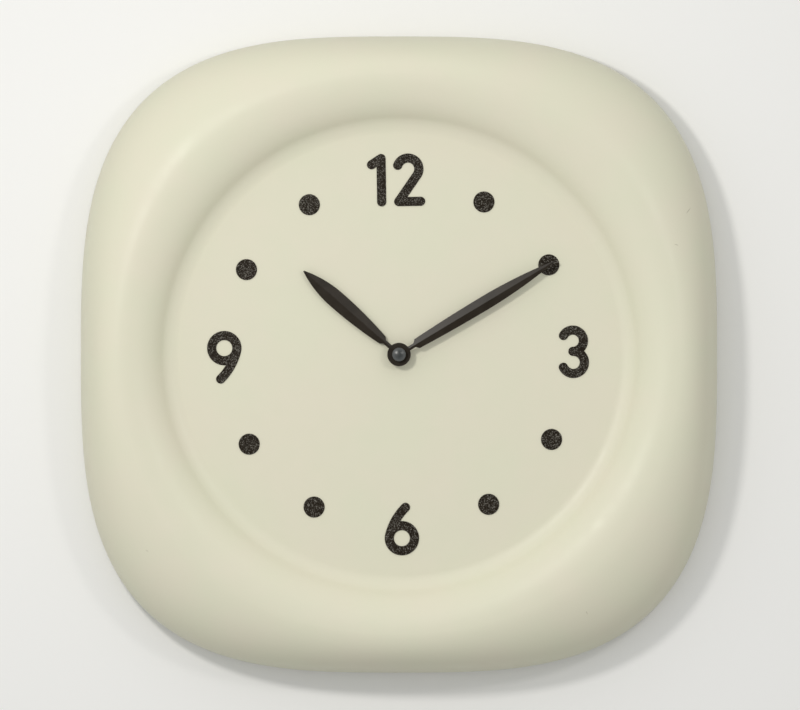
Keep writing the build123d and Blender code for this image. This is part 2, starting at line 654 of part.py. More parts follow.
def hand(half, length, angle, base, widest, hole_radius):
    """Hand bent to a ridge along its middle, on a flat hub with a hole for its collet."""
    rise = widest * math.tan(math.radians(HAND_RIDGE_ANGLE))
    ridge = Polyline((0, -widest, 0), (0, 0, rise), (0, widest, 0), (0, widest, HAND_SHEET),
                     (0, 0, rise + HAND_SHEET), (0, -widest, HAND_SHEET), close=True)
    sheet = extrude(make_face(ridge.edges()), amount=length, dir=(1, 0, 0))
    outline = half + mirror(half, about=Plane.XZ)
    blade = sheet & extrude(outline, amount=rise + HAND_SHEET)
    blade -= rod(CENTRE_PLACE, -OVERRUN, rise, HAND_HUB_RADIUS)
    hub = rod(CENTRE_PLACE, rise, rise + HAND_SHEET, HAND_HUB_RADIUS)
    hole = rod(CENTRE_PLACE, -OVERRUN, rise + HAND_SHEET + OVERRUN, hole_radius)
    return Pos(0, 0, base - rise) * Rot(0, 0, 90 - angle) * (blade + hub - hole)


def collet(pipe_radius, base):
    """Flanged brass bush pressed on a pipe and into a hand's hub."""
    wall_radius = pipe_radius + COLLET_WALL
    bush = rod(CENTRE_PLACE, base, base + COLLET_HEIGHT, wall_radius - PRESS_FIT)
    bush += rod(CENTRE_PLACE, base, base + COLLET_FLANGE_HEIGHT, wall_radius + COLLET_FLANGE)
    bore = rod(CENTRE_PLACE, base - OVERRUN, base + COLLET_HEIGHT + OVERRUN, pipe_radius + PRESS_FIT)
    return bush - bore


def hour_hand():
    """Shorter hand."""
    half = half_leaf(HOUR_HAND_LENGTH, HOUR_NECK_HALF_WIDTH, HOUR_SHOULDER_REACH,
                     HOUR_SHOULDER_HALF_WIDTH, HOUR_WIDEST_HALF_WIDTH, HOUR_WIDEST_SHARE)
    return hand(half, HOUR_HAND_LENGTH, HOUR_HAND_ANGLE, HOUR_HAND_BASE,
                HOUR_WIDEST_HALF_WIDTH, HOUR_PIPE_RADIUS + COLLET_WALL)


def minute_hand():
    """Longer hand."""
    half = half_leaf(MINUTE_HAND_LENGTH, MINUTE_NECK_HALF_WIDTH, MINUTE_SHOULDER_REACH,
                     MINUTE_SHOULDER_HALF_WIDTH, MINUTE_WIDEST_HALF_WIDTH, MINUTE_WIDEST_SHARE)
    return hand(half, MINUTE_HAND_LENGTH, MINUTE_HAND_ANGLE, MINUTE_HAND_BASE,
                MINUTE_WIDEST_HALF_WIDTH, CANNON_PIPE_RADIUS + COLLET_WALL)


def hand_cap():
    """Domed cap pushed on the end of the minute pipe."""
    top = CAP_SKIRT + CAP_DOME
    dome_arc = TangentArc((0, top), (CAP_RADIUS, CAP_SKIRT), tangent=(1, 0))
    sides = Polyline((CAP_RADIUS, CAP_SKIRT), (CAP_RADIUS, 0), (0, 0), (0, top))
    section = make_face(dome_arc.edges() + sides.edges())
    section = fillet(section.vertices().sort_by_distance((CAP_RADIUS, CAP_SKIRT))[0], CAP_EDGE_RADIUS)
    dome = revolve(Plane.XZ * section, axis=Axis.Z)
    bore = Cylinder(CANNON_PIPE_RADIUS + PRESS_FIT, 2 * CAP_BORE_DEPTH)
    return Pos(0, 0, MINUTE_COLLET_END) * (dome - bore)


# Gear train


def mesh_phase(driver_phase, driver_teeth, follower_teeth, direction):
    """Turn of the follower that puts its gaps on the driver's teeth."""
    pitches = (direction - driver_phase) * driver_teeth / 360
    part_pitch = pitches - math.floor(pitches)
    return direction + 180 + (part_pitch + TOOTH_CENTRING_SHARE) * 360 / follower_teeth


def toothed_face(root_radius, tip_radius, teeth, root_share, tip_share, phase):
    """Closed outline of straight sided teeth."""
    points = []
    for index in range(teeth):
        for radius, share in ((root_radius, -root_share), (tip_radius, -tip_share),
                              (tip_radius, tip_share), (root_radius, root_share)):
            place = polar(radius, phase + 360 * (index + share) / teeth)
            points.append((place.X, place.Y))
    return make_face(Polyline(points, close=True).edges())


def wheel(place, teeth, module, phase, low, thickness):
    """Gear wheel."""
    root = module * (teeth / 2 - WHEEL_DEDENDUM_SHARE)
    face = toothed_face(root, wheel_tip_radius(teeth, module), teeth,
                        WHEEL_ROOT_SHARE, WHEEL_TIP_SHARE, phase)
    return Pos(place.X, place.Y, 0) * raised(face, low, low + thickness)


def pinion(place, teeth, module, phase, low, high):
    """Small driving gear."""
    root = module * (teeth / 2 - PINION_DEDENDUM_SHARE)
    tip = module * (teeth / 2 + PINION_ADDENDUM_SHARE)
    face = toothed_face(root, tip, teeth, PINION_ROOT_SHARE, PINION_TIP_SHARE, phase)
    return Pos(place.X, place.Y, 0) * raised(face, low, high)


FIFTH_WHEEL_PHASE = mesh_phase(0, ROTOR_PINION_TEETH, FIFTH_WHEEL_TEETH, ROTOR_DIRECTION + 180)
SECOND_WHEEL_PHASE = mesh_phase(0, FIFTH_PINION_TEETH, SECOND_WHEEL_TEETH, FIFTH_DIRECTION + 180)
THIRD_WHEEL_PHASE = mesh_phase(0, SECOND_PINION_TEETH, THIRD_WHEEL_TEETH, THIRD_DIRECTION)
CENTRE_WHEEL_PHASE = mesh_phase(0, THIRD_PINION_TEETH, CENTRE_WHEEL_TEETH, THIRD_DIRECTION + 180)
MINUTE_WHEEL_PHASE = mesh_phase(0, CANNON_TEETH, MINUTE_WHEEL_TEETH, MINUTE_DIRECTION)
HOUR_WHEEL_PHASE = mesh_phase(0, MINUTE_PINION_TEETH, HOUR_WHEEL_TEETH, MINUTE_DIRECTION + 180)
KNOB_PINION_PHASE = mesh_phase(
    MINUTE_WHEEL_PHASE, MINUTE_WHEEL_TEETH, KNOB_PINION_TEETH, KNOB_DIRECTION
)


def train_arbor(place):
    """Arbor that runs from the train plate to the pivot boss on the movement's lid."""
    return rod(place, PIVOT_BOSS_END - PIVOT_DEPTH, PLATE_FRONT - PIVOT_END_GAP, ARBOR_RADIUS)


def hour_wheel():
    """Wheel and pipe that carry the hour hand."""
    gear = wheel(CENTRE_PLACE, HOUR_WHEEL_TEETH, MINUTE_MODULE, HOUR_WHEEL_PHASE,
                 HOUR_LAYER, MOTION_WHEEL_THICKNESS)
    gear += rod(CENTRE_PLACE, HOUR_LAYER, HOUR_PIPE_END, HOUR_PIPE_RADIUS)
    bore = CANNON_PIPE_RADIUS + PIPE_WALL_CLEARANCE
    return gear - rod(CENTRE_PLACE, HOUR_LAYER - OVERRUN, HOUR_PIPE_END + OVERRUN, bore)


def cannon_pinion():
    """Pinion and pipe that carry the minute hand, with a journal in the train plate."""
    journal_end = CENTRE_LAYER + TRAIN_WHEEL_THICKNESS + PIPE_WALL_CLEARANCE
    layer_top = MINUTE_LAYER + MOTION_WHEEL_THICKNESS
    gear = pinion(CENTRE_PLACE, CANNON_TEETH, CANNON_MODULE, 0, MINUTE_LAYER, layer_top)
    gear += rod(CENTRE_PLACE, journal_end, CANNON_PIPE_END, CANNON_PIPE_RADIUS)
    return gear - rod(CENTRE_PLACE, journal_end - OVERRUN, CANNON_PIPE_END + OVERRUN,
                      CANNON_BORE_RADIUS)


def minute_wheel():
    """Idler between the cannon pinion and the hour wheel."""
    layer_top = HOUR_LAYER + MOTION_WHEEL_THICKNESS
    gear = wheel(MINUTE_PLACE, MINUTE_WHEEL_TEETH, CANNON_MODULE, MINUTE_WHEEL_PHASE,
                 MINUTE_LAYER, MOTION_WHEEL_THICKNESS)
    gear += pinion(MINUTE_PLACE, MINUTE_PINION_TEETH, MINUTE_MODULE, 0, MINUTE_LAYER, layer_top)
    pivot_end = FRONT_INNER + HOUSING_WALL / 2 - PIVOT_END_GAP
    return gear + rod(MINUTE_PLACE, PLATE_REAR + PIVOT_END_GAP, pivot_end, ARBOR_RADIUS)


def setting_knob():
    """Ribbed knob on a shaft whose pinion turns the minute wheel."""
    layer_top = MINUTE_LAYER + MOTION_WHEEL_THICKNESS
    knob_top = MOVEMENT_REAR - KNOB_LIFT
    ribs = toothed_face(KNOB_RADIUS * (1 - KNOB_RIB_DEPTH_SHARE), KNOB_RADIUS, KNOB_RIB_COUNT,
                        KNOB_RIB_ROOT_SHARE, KNOB_RIB_TIP_SHARE, 0)
    knob = Pos(KNOB_PLACE.X, KNOB_PLACE.Y, 0) * raised(ribs, knob_top - KNOB_HEIGHT, knob_top)
    knob += rod(KNOB_PLACE, knob_top, layer_top, KNOB_SHAFT_RADIUS)
    knob += pinion(KNOB_PLACE, KNOB_PINION_TEETH, CANNON_MODULE, KNOB_PINION_PHASE,
                   MINUTE_LAYER, layer_top)
    pivot_end = FRONT_INNER + HOUSING_WALL / 2 - PIVOT_END_GAP
    return knob + rod(KNOB_PLACE, layer_top, pivot_end, ARBOR_RADIUS)


def centre_wheel():
    """Wheel that drives the cannon pinion through a slipping fit."""
    gear = wheel(CENTRE_PLACE, CENTRE_WHEEL_TEETH, THIRD_MODULE, CENTRE_WHEEL_PHASE,
                 CENTRE_LAYER, TRAIN_WHEEL_THICKNESS)
    layer_top = CENTRE_LAYER + TRAIN_WHEEL_THICKNESS
    return gear - rod(CENTRE_PLACE, CENTRE_LAYER - OVERRUN, layer_top + OVERRUN,
                      ARBOR_RADIUS + PIPE_WALL_CLEARANCE)


def third_wheel():
    """Wheel and pinion between the seconds wheel and the centre wheel."""
    gear = wheel(THIRD_PLACE, THIRD_WHEEL_TEETH, SECOND_MODULE, THIRD_WHEEL_PHASE,
                 THIRD_LAYER, TRAIN_WHEEL_THICKNESS)
    gear += pinion(THIRD_PLACE, THIRD_PINION_TEETH, THIRD_MODULE, 0, THIRD_LAYER,
                   CENTRE_LAYER + TRAIN_WHEEL_THICKNESS)
    return gear + train_arbor(THIRD_PLACE)


def second_wheel():
    """Seconds wheel, whose arbor runs up inside the minute pipe."""
    gear = wheel(CENTRE_PLACE, SECOND_WHEEL_TEETH, FIFTH_MODULE, SECOND_WHEEL_PHASE,
                 SECOND_LAYER, TRAIN_WHEEL_THICKNESS)
    gear += pinion(CENTRE_PLACE, SECOND_PINION_TEETH, SECOND_MODULE, 0, SECOND_LAYER,
                   THIRD_LAYER + TRAIN_WHEEL_THICKNESS)
    return gear + rod(CENTRE_PLACE, PIVOT_BOSS_END - PIVOT_DEPTH, DIAL_LEVEL, ARBOR_RADIUS)


def fifth_wheel():
    """Reduction wheel and pinion between the rotor and the seconds wheel."""
    gear = wheel(FIFTH_PLACE, FIFTH_WHEEL_TEETH, ROTOR_MODULE, FIFTH_WHEEL_PHASE,
                 FIFTH_LAYER, TRAIN_WHEEL_THICKNESS)
    gear += pinion(FIFTH_PLACE, FIFTH_PINION_TEETH, FIFTH_MODULE, 0, FIFTH_LAYER,
                   SECOND_LAYER + TRAIN_WHEEL_THICKNESS)
    return gear + train_arbor(FIFTH_PLACE)


def rotor_pinion():
    """Pinion and arbor of the step motor's rotor."""
    gear = pinion(ROTOR_PLACE, ROTOR_PINION_TEETH, ROTOR_MODULE, 0, FIFTH_LAYER,
                  FIFTH_LAYER + TRAIN_WHEEL_THICKNESS)
    return gear + train_arbor(ROTOR_PLACE)


def rotor_magnet():
    """Round magnet pressed on the rotor arbor, turning in the stator."""
    return tube(ROTOR_PLACE, STATOR_REAR, STATOR_FRONT, MAGNET_RADIUS, ARBOR_RADIUS + PRESS_FIT)


def train_plate():
    """Plate between the motion work and the going train, with its pivot holes."""
    plate = block(PLATE_LEFT, PLATE_RIGHT, PLATE_LOW, PLATE_HIGH, PLATE_REAR, PLATE_FRONT)
    bores = [
        (CENTRE_PLACE, CANNON_PIPE_RADIUS),
        (THIRD_PLACE, ARBOR_RADIUS),
        (FIFTH_PLACE, ARBOR_RADIUS),
        (ROTOR_PLACE, ARBOR_RADIUS),
        (MINUTE_PLACE, ARBOR_RADIUS),
        (KNOB_PLACE, KNOB_SHAFT_RADIUS),
    ]
    for place, radius in bores:
        plate -= rod(place, PLATE_REAR - OVERRUN, PLATE_FRONT + OVERRUN, radius + RUNNING_CLEARANCE)
    return plate


# Step motor and circuit


def stator():
    """Flat iron frame round the rotor, with legs up to the ends of the coil core."""
    low = ROTOR_PLACE.Y - STATOR_BAR_HALF
    bar_top = ROTOR_PLACE.Y + STATOR_BAR_HALF
    frame = block(STATOR_LEFT, STATOR_RIGHT, low, bar_top, STATOR_REAR, STATOR_FRONT)
    left_end = STATOR_LEFT + STATOR_LEG_WIDTH
    right_end = STATOR_RIGHT - STATOR_LEG_WIDTH
    frame += block(STATOR_LEFT, left_end, low, STATOR_TOP, STATOR_REAR, STATOR_FRONT)
    frame += block(right_end, STATOR_RIGHT, low, STATOR_TOP, STATOR_REAR, STATOR_FRONT)
    return frame - rod(ROTOR_PLACE, STATOR_REAR - OVERRUN, STATOR_FRONT + OVERRUN, STATOR_HOLE_RADIUS)


def coil_core():
    """Iron bar through the coil, lying on the stator's legs."""
    half = CORE_WIDTH / 2
    return block(STATOR_LEFT, STATOR_RIGHT, COIL_PLACE_Y - half, COIL_PLACE_Y + half,
                 CORE_REAR, CORE_REAR + CORE_THICKNESS)


def coil_drum(left, right, radius):
    """Cylinder along the coil's axis."""
    lying = Pos(left, COIL_PLACE_Y, CORE_AXIS) * Rot(0, 90, 0)
    return lying * Cylinder(radius, right - left, align=ON_BASE)


def bobbin_ends():
    """Left and right ends of the bobbin, between the stator's legs."""
    left = STATOR_LEFT + STATOR_LEG_WIDTH + COIL_END_GAP
    return left, STATOR_RIGHT - STATOR_LEG_WIDTH - COIL_END_GAP


def barrel_radius():
    """Radius of the bobbin's barrel, round the corners of the core."""
    return math.hypot(CORE_WIDTH, CORE_THICKNESS) / 2 + BOBBIN_WALL


def coil_bobbin():
    """Plastic spool that slides on the core."""
    left, right = bobbin_ends()
    spool = coil_drum(left, right, barrel_radius())
    spool += coil_drum(left, left + BOBBIN_FLANGE, COIL_RADIUS)
    spool += coil_drum(right - BOBBIN_FLANGE, right, COIL_RADIUS)
    half_width = CORE_WIDTH / 2 + PIPE_WALL_CLEARANCE
    half_depth = CORE_THICKNESS / 2 + PIPE_WALL_CLEARANCE
    return spool - block(left - OVERRUN, right + OVERRUN, COIL_PLACE_Y - half_width,
                         COIL_PLACE_Y + half_width, CORE_AXIS - half_depth, CORE_AXIS + half_depth)


def coil_winding():
    """Copper winding between the bobbin's flanges."""
    left, right = bobbin_ends()
    start = left + BOBBIN_FLANGE + PRESS_FIT
    end = right - BOBBIN_FLANGE - PRESS_FIT
    bore = coil_drum(start - OVERRUN, end + OVERRUN, barrel_radius() + PRESS_FIT)
    return coil_drum(start, end, COIL_RADIUS - BOBBIN_WALL) - bore


def circuit_board():
    """Board behind the front wall of the movement."""
    return block(BOARD_LEFT, BOARD_RIGHT, BOARD_LOW, BOARD_HIGH, BOARD_REAR, BOARD_FRONT)


def quartz_crystal():
    """Small can that lies on the board."""
    place_y = BOARD_LOW + CRYSTAL_PLACE_SHARE * BOARD_HEIGHT
    middle = Pos(BOARD_MIDDLE, place_y, BOARD_REAR - CRYSTAL_RADIUS - PRESS_FIT)
    return middle * Rot(0, 90, 0) * Cylinder(CRYSTAL_RADIUS, CRYSTAL_LENGTH)


def chip_cover():
    """Round resin cover over the chip."""
    place = Vector(BOARD_MIDDLE, BOARD_HIGH - CHIP_PLACE_SHARE * BOARD_HEIGHT, 0)
    cone = Cone(CHIP_RADIUS - CHIP_HEIGHT / 2, CHIP_RADIUS, CHIP_HEIGHT, align=ON_BASE)
    return Pos(place.X, place.Y, BOARD_REAR - CHIP_HEIGHT) * cone


def contact(side, tongue_left):
    """Battery contact on one end wall, with a strip and a tongue under the board."""
    sheet_inner = BAY_HALF_WIDTH - CONTACT_SHEET
    strip_high = BAY_HIGH - CONTACT_STRIP_INSET
    strip_low = strip_high - CONTACT_STRIP_WIDTH
    strip_rear = FRONT_INNER - CONTACT_SHEET
    ends = sorted((side * sheet_inner, side * BAY_HALF_WIDTH))
    plate = block(*ends, BATTERY_PLACE_Y - CONTACT_HALF_HEIGHT, strip_high,
                  BATTERY_AXIS - CONTACT_HALF_HEIGHT, FRONT_INNER)
    tongue_right = tongue_left + CONTACT_STRIP_WIDTH
    run = sorted((side * BAY_HALF_WIDTH, tongue_left if side > 0 else tongue_right))
    plate += block(*run, strip_low, strip_high, strip_rear, FRONT_INNER)
    return plate + block(tongue_left, tongue_right, strip_low, CHAMBER_LOW + CONTACT_TONGUE_REACH,
                         strip_rear, FRONT_INNER)


NEGATIVE_TONGUE = -min(BAY_HALF_WIDTH, CHAMBER_HALF_WIDTH) + BOARD_EDGE_GAP
POSITIVE_TONGUE = BOARD_RIGHT - CONTACT_STRIP_WIDTH


def contact_leaf():
    """Bent leaf that presses on the flat end of the battery."""
    outer = -BAY_HALF_WIDTH + CONTACT_SHEET
    low = BATTERY_PLACE_Y - CONTACT_HALF_HEIGHT
    high = BATTERY_PLACE_Y + CONTACT_HALF_HEIGHT
    tip = outer + CONTACT_LEAF_REACH
    bend = Polyline((outer, low), (tip, BATTERY_PLACE_Y), (outer, high),
                    (outer, high - CONTACT_SHEET), (tip - CONTACT_SHEET, BATTERY_PLACE_Y),
                    (outer, low + CONTACT_SHEET), close=True)
    half = CONTACT_HALF_HEIGHT / 2
    return raised(make_face(bend.edges()), BATTERY_AXIS - half, BATTERY_AXIS + half)


def battery_contact_positive():
    """Flat contact at the battery's button end."""
    return contact(1, POSITIVE_TONGUE)


def battery_contact_negative():
    """Sprung contact at the battery's flat end."""
    return contact(-1, NEGATIVE_TONGUE) + contact_leaf()


def battery_cell():
    """Round cell with its button to the right."""
    body = Cylinder(BATTERY_DIAMETER / 2, BATTERY_LENGTH, align=ON_BASE)
    body = fillet(body.edges().filter_by(GeomType.CIRCLE), BATTERY_EDGE_RADIUS)
    button = Cylinder(BATTERY_NUB_RADIUS, BATTERY_NUB_LENGTH, align=ON_BASE)
    cell = body + Pos(0, 0, BATTERY_LENGTH) * button
    left = -BAY_HALF_WIDTH + CONTACT_ROOM
    return Pos(left, BATTERY_PLACE_Y, BATTERY_AXIS) * Rot(0, 90, 0) * cell


# Movement case


def movement_housing():
    """Front half of the movement: box, battery bay, bush, posts, pads and ears."""
    box = block(-HOUSING_HALF_WIDTH, HOUSING_HALF_WIDTH, BAY_HIGH, HOUSING_HIGH,
                MOVEMENT_REAR, MOVEMENT_FRONT)
    box += block(-BAY_OUTER_HALF_WIDTH, BAY_OUTER_HALF_WIDTH, HOUSING_LOW, CHAMBER_LOW,
                 MOVEMENT_REAR, MOVEMENT_FRONT)
    mouth = MOVEMENT_REAR - OVERRUN
    box -= block(-CHAMBER_HALF_WIDTH, CHAMBER_HALF_WIDTH, CHAMBER_LOW, CHAMBER_HIGH, mouth, FRONT_INNER)
    box -= block(-BAY_HALF_WIDTH, BAY_HALF_WIDTH, BAY_LOW, BAY_HIGH, mouth, FRONT_INNER)
    notch_rear = FRONT_INNER - CONTACT_SHEET - CONTACT_NOTCH_GAP
    for left in (NEGATIVE_TONGUE, POSITIVE_TONGUE):
        right = left + CONTACT_STRIP_WIDTH + CONTACT_NOTCH_GAP
        box -= block(left - CONTACT_NOTCH_GAP, right, BAY_HIGH, CHAMBER_LOW, notch_rear, FRONT_INNER)
    for side in (-1, 1):
        corner = sorted((side * CHAMBER_HALF_WIDTH, side * (CHAMBER_HALF_WIDTH - PAD_WIDTH)))
        box += block(*corner, CHAMBER_HIGH - PAD_WIDTH, CHAMBER_HIGH, LID_INNER, FRONT_INNER)
        middle = side * PAD_OFFSET
        box += block(middle - PAD_WIDTH / 2, middle + PAD_WIDTH / 2, CHAMBER_LOW,
                     CHAMBER_LOW + PAD_DEPTH, LID_INNER, FRONT_INNER)
        ear = sorted((side * HOUSING_HALF_WIDTH, side * (EAR_PLACE_X + EAR_HALF_WIDTH)))
        box += block(*ear, -EAR_HALF_WIDTH, EAR_HALF_WIDTH, EAR_REAR, EAR_FRONT)
    for place in ear_places():
        box -= rod(place, EAR_REAR - OVERRUN, EAR_FRONT + OVERRUN,
                   MOVEMENT_SCREW_RADIUS + SCREW_CLEARANCE)
    for place in POST_PLACES:
        box += rod(place, PLATE_FRONT, FRONT_INNER, POST_RADIUS)
    for share in (CRYSTAL_PLACE_SHARE, 1 - CHIP_PLACE_SHARE):
        place = Vector(BOARD_MIDDLE, BOARD_LOW + share * BOARD_HEIGHT, 0)
        box += rod(place, BOARD_FRONT, FRONT_INNER, BOARD_PAD_RADIUS)
    box += rod(CENTRE_PLACE, FRONT_INNER, DIAL_LEVEL + BUSH_RISE, BUSH_RADIUS)
    box -= rod(CENTRE_PLACE, FRONT_INNER - OVERRUN, DIAL_LEVEL + BUSH_RISE + OVERRUN,
               HOUR_PIPE_RADIUS + PIPE_WALL_CLEARANCE)
    for place in (MINUTE_PLACE, KNOB_PLACE):
        box -= rod(place, FRONT_INNER - OVERRUN, FRONT_INNER + HOUSING_WALL / 2,
                   ARBOR_RADIUS + RUNNING_CLEARANCE)
    return box


def movement_back():
    """Lid over the gear chamber, with pivot bosses, stator posts and the knob's hole."""
    half = CHAMBER_HALF_WIDTH - LID_FIT
    lid = block(-half, half, CHAMBER_LOW + LID_FIT, CHAMBER_HIGH - LID_FIT, MOVEMENT_REAR, LID_INNER)
    for place in (CENTRE_PLACE, THIRD_PLACE, FIFTH_PLACE, ROTOR_PLACE):
        lid += rod(place, LID_INNER, PIVOT_BOSS_END, PIVOT_BOSS_RADIUS)
        hole_floor = PIVOT_BOSS_END - PIVOT_DEPTH - PIVOT_END_GAP
        lid -= rod(place, hole_floor, PIVOT_BOSS_END + OVERRUN, ARBOR_RADIUS + RUNNING_CLEARANCE)
    leg_half = STATOR_LEG_WIDTH / 2
    for place_x in (STATOR_LEFT + leg_half, STATOR_RIGHT - leg_half):
        lid += rod(Vector(place_x, COIL_PLACE_Y, 0), LID_INNER, STATOR_REAR, POST_RADIUS)
    return lid - rod(KNOB_PLACE, MOVEMENT_REAR - OVERRUN, LID_INNER + OVERRUN,
                     KNOB_SHAFT_RADIUS + RUNNING_CLEARANCE)


PIECES = {
    "case_shell": case_shell(),
    "rear_cover": rear_cover(),
    "cover_screws": cover_screws(),
    "movement_screws": movement_screws(),
    "numeral_12": numeral(digit_one() + digit_two(), HOURS),
    "numeral_3": numeral(digit_three(), HOURS_PER_NUMERAL),
    "numeral_6": numeral(digit_six(), 2 * HOURS_PER_NUMERAL),
    "numeral_9": numeral(Rot(0, 0, 180) * digit_six(), 3 * HOURS_PER_NUMERAL),
    "hour_dots": hour_dots(),
    "hour_hand": hour_hand(),
    "hour_hand_collet": collet(HOUR_PIPE_RADIUS, HOUR_COLLET_BASE),
    "minute_hand": minute_hand(),
    "minute_hand_collet": collet(CANNON_PIPE_RADIUS, MINUTE_COLLET_BASE),
    "hand_cap": hand_cap(),
    "movement_housing": movement_housing(),
    "movement_back": movement_back(),
    "train_plate": train_plate(),
    "hour_wheel": hour_wheel(),
    "cannon_pinion": cannon_pinion(),
    "minute_wheel": minute_wheel(),
    "setting_knob": setting_knob(),
    "centre_wheel": centre_wheel(),
    "third_wheel": third_wheel(),
    "second_wheel": second_wheel(),
    "fifth_wheel": fifth_wheel(),
    "rotor_pinion": rotor_pinion(),
    "rotor_magnet": rotor_magnet(),
    "stator": stator(),
    "coil_core": coil_core(),
    "coil_bobbin": coil_bobbin(),
    "coil_winding": coil_winding(),
    "circuit_board": circuit_board(),
    "quartz_crystal": quartz_crystal(),
    "chip_cover": chip_cover(),
    "battery_contact_positive": battery_contact_positive(),
    "battery_contact_negative": battery_contact_negative(),
    "battery_cell": battery_cell(),
}

# Stand the clock up, with the hanger's keyhole at the origin and the dial facing -Y
STAND_UP = Pos(0, 0, -HANGER_RISE) * Rot(90, 0, 0)
os.makedirs("parts", exist_ok=True)
for name, piece in PIECES.items():
    export_step(STAND_UP * piece, f"parts/{name}.step")
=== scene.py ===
"""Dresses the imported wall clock: cream cushion shell, printed dial, black hands and quartz movement."""

from __future__ import annotations

import json
import logging
import math
from dataclasses import dataclass
from enum import Enum

import bmesh
import bpy
from bmesh.types import BMEdge, BMesh, BMVert
from bpy.types import ID, Material, Node, NodeSocket, NodeTree, Object
from mathutils import Matrix, Vector


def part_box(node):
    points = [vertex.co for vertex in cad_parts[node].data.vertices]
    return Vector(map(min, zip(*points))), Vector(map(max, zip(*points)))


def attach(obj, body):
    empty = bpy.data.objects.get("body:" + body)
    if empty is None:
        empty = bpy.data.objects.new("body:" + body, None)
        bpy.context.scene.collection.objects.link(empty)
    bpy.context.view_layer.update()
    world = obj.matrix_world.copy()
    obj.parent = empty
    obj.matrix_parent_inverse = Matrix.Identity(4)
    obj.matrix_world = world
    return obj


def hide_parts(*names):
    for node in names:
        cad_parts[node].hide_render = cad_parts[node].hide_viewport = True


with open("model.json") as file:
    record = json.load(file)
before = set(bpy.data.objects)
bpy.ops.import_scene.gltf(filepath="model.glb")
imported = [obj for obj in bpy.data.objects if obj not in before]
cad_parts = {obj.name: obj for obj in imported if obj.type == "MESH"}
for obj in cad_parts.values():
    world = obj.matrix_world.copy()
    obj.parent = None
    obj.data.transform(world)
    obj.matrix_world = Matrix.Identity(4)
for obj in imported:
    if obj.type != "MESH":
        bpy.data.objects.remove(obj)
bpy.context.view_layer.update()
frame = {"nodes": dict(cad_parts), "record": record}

log = logging.getLogger("wall_clock")

Pair = tuple[float, float]
Triple = tuple[float, float, float]

MM = 0.001
# How a display turns its values into light
DISPLAY_STEPS = 255
DISPLAY_OFFSET = 0.055
DISPLAY_POWER = 2.4
FULL_TURN = 2 * math.pi
QUARTER_TURN = math.pi / 2
WELD = 0.001 * MM
FLAT_ANGLE = math.radians(0.5)
# Stretches of a cloudy pattern's values, most of which lie near a half
MILD_BAND = (0.35, 0.65)
WIDE_BAND = (0.3, 0.7)

JOINTS = {joint["name"]: joint for joint in frame["record"]["behaviour"]["joints"]}
AXIS = Vector(JOINTS["minute_hand_turn"]["pos_m"])
# Pieces are drawn lying down, x right and y up on the dial and z towards the viewer, and then stood up
ORIGIN = Vector()
FACING = Vector((0, 0, 1))
STAND_UP = Matrix.Translation((AXIS.x, 0, AXIS.z)) @ Matrix.Rotation(QUARTER_TURN, 4, "X")


class Body(str, Enum):
    """Bodies of the clock that pieces ride on."""

    CASE = "case"
    HOUR_HAND = "hour_hand"
    MINUTE_HAND = "minute_hand"
    KNOB = "setting_knob"
    BATTERY = "battery"


class Slot(str, Enum):
    """Material slots of the record."""

    SHELL = "shell_cream"
    COVER = "cover_cream"
    PRINT = "print_black"
    HAND = "hand_black"
    STEEL = "steel"
    MOVEMENT = "movement_black"
    KNOB = "gear_white"
    CELL = "cell_wrap"


@dataclass(frozen=True)
class Tint:
    """Colour written as display values from 0 to 255."""

    red: float
    green: float
    blue: float

    @property
    def linear(self) -> tuple[float, float, float, float]:
        """Works the colour out as linear light.

        Returns:
            Red, green, blue and full cover.
        """
        shares = [channel / DISPLAY_STEPS for channel in (self.red, self.green, self.blue)]
        lifted = [(share + DISPLAY_OFFSET) / (1 + DISPLAY_OFFSET) for share in shares]
        return (*(share**DISPLAY_POWER for share in lifted), 1.0)


@dataclass(frozen=True)
class Extent:
    """Box of a CAD node in the lying frame."""

    left: float
    right: float
    low: float
    high: float
    rear: float
    front: float

    @classmethod
    def of(cls, node: str) -> Extent:
        """Reads a node's box.

        Args:
            node: Name of the CAD node.

        Returns:
            The box, measured from the hands' axis and from the wall.
        """
        lowest, highest = (Vector(corner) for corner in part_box(node))
        return cls(
            left=lowest.x - AXIS.x,
            right=highest.x - AXIS.x,
            low=lowest.z - AXIS.z,
            high=highest.z - AXIS.z,
            rear=-highest.y,
            front=-lowest.y,
        )

    @property
    def middle(self) -> Vector:
        """Middle of the box."""
        return Vector((self.left + self.right, self.low + self.high, self.rear + self.front)) / 2


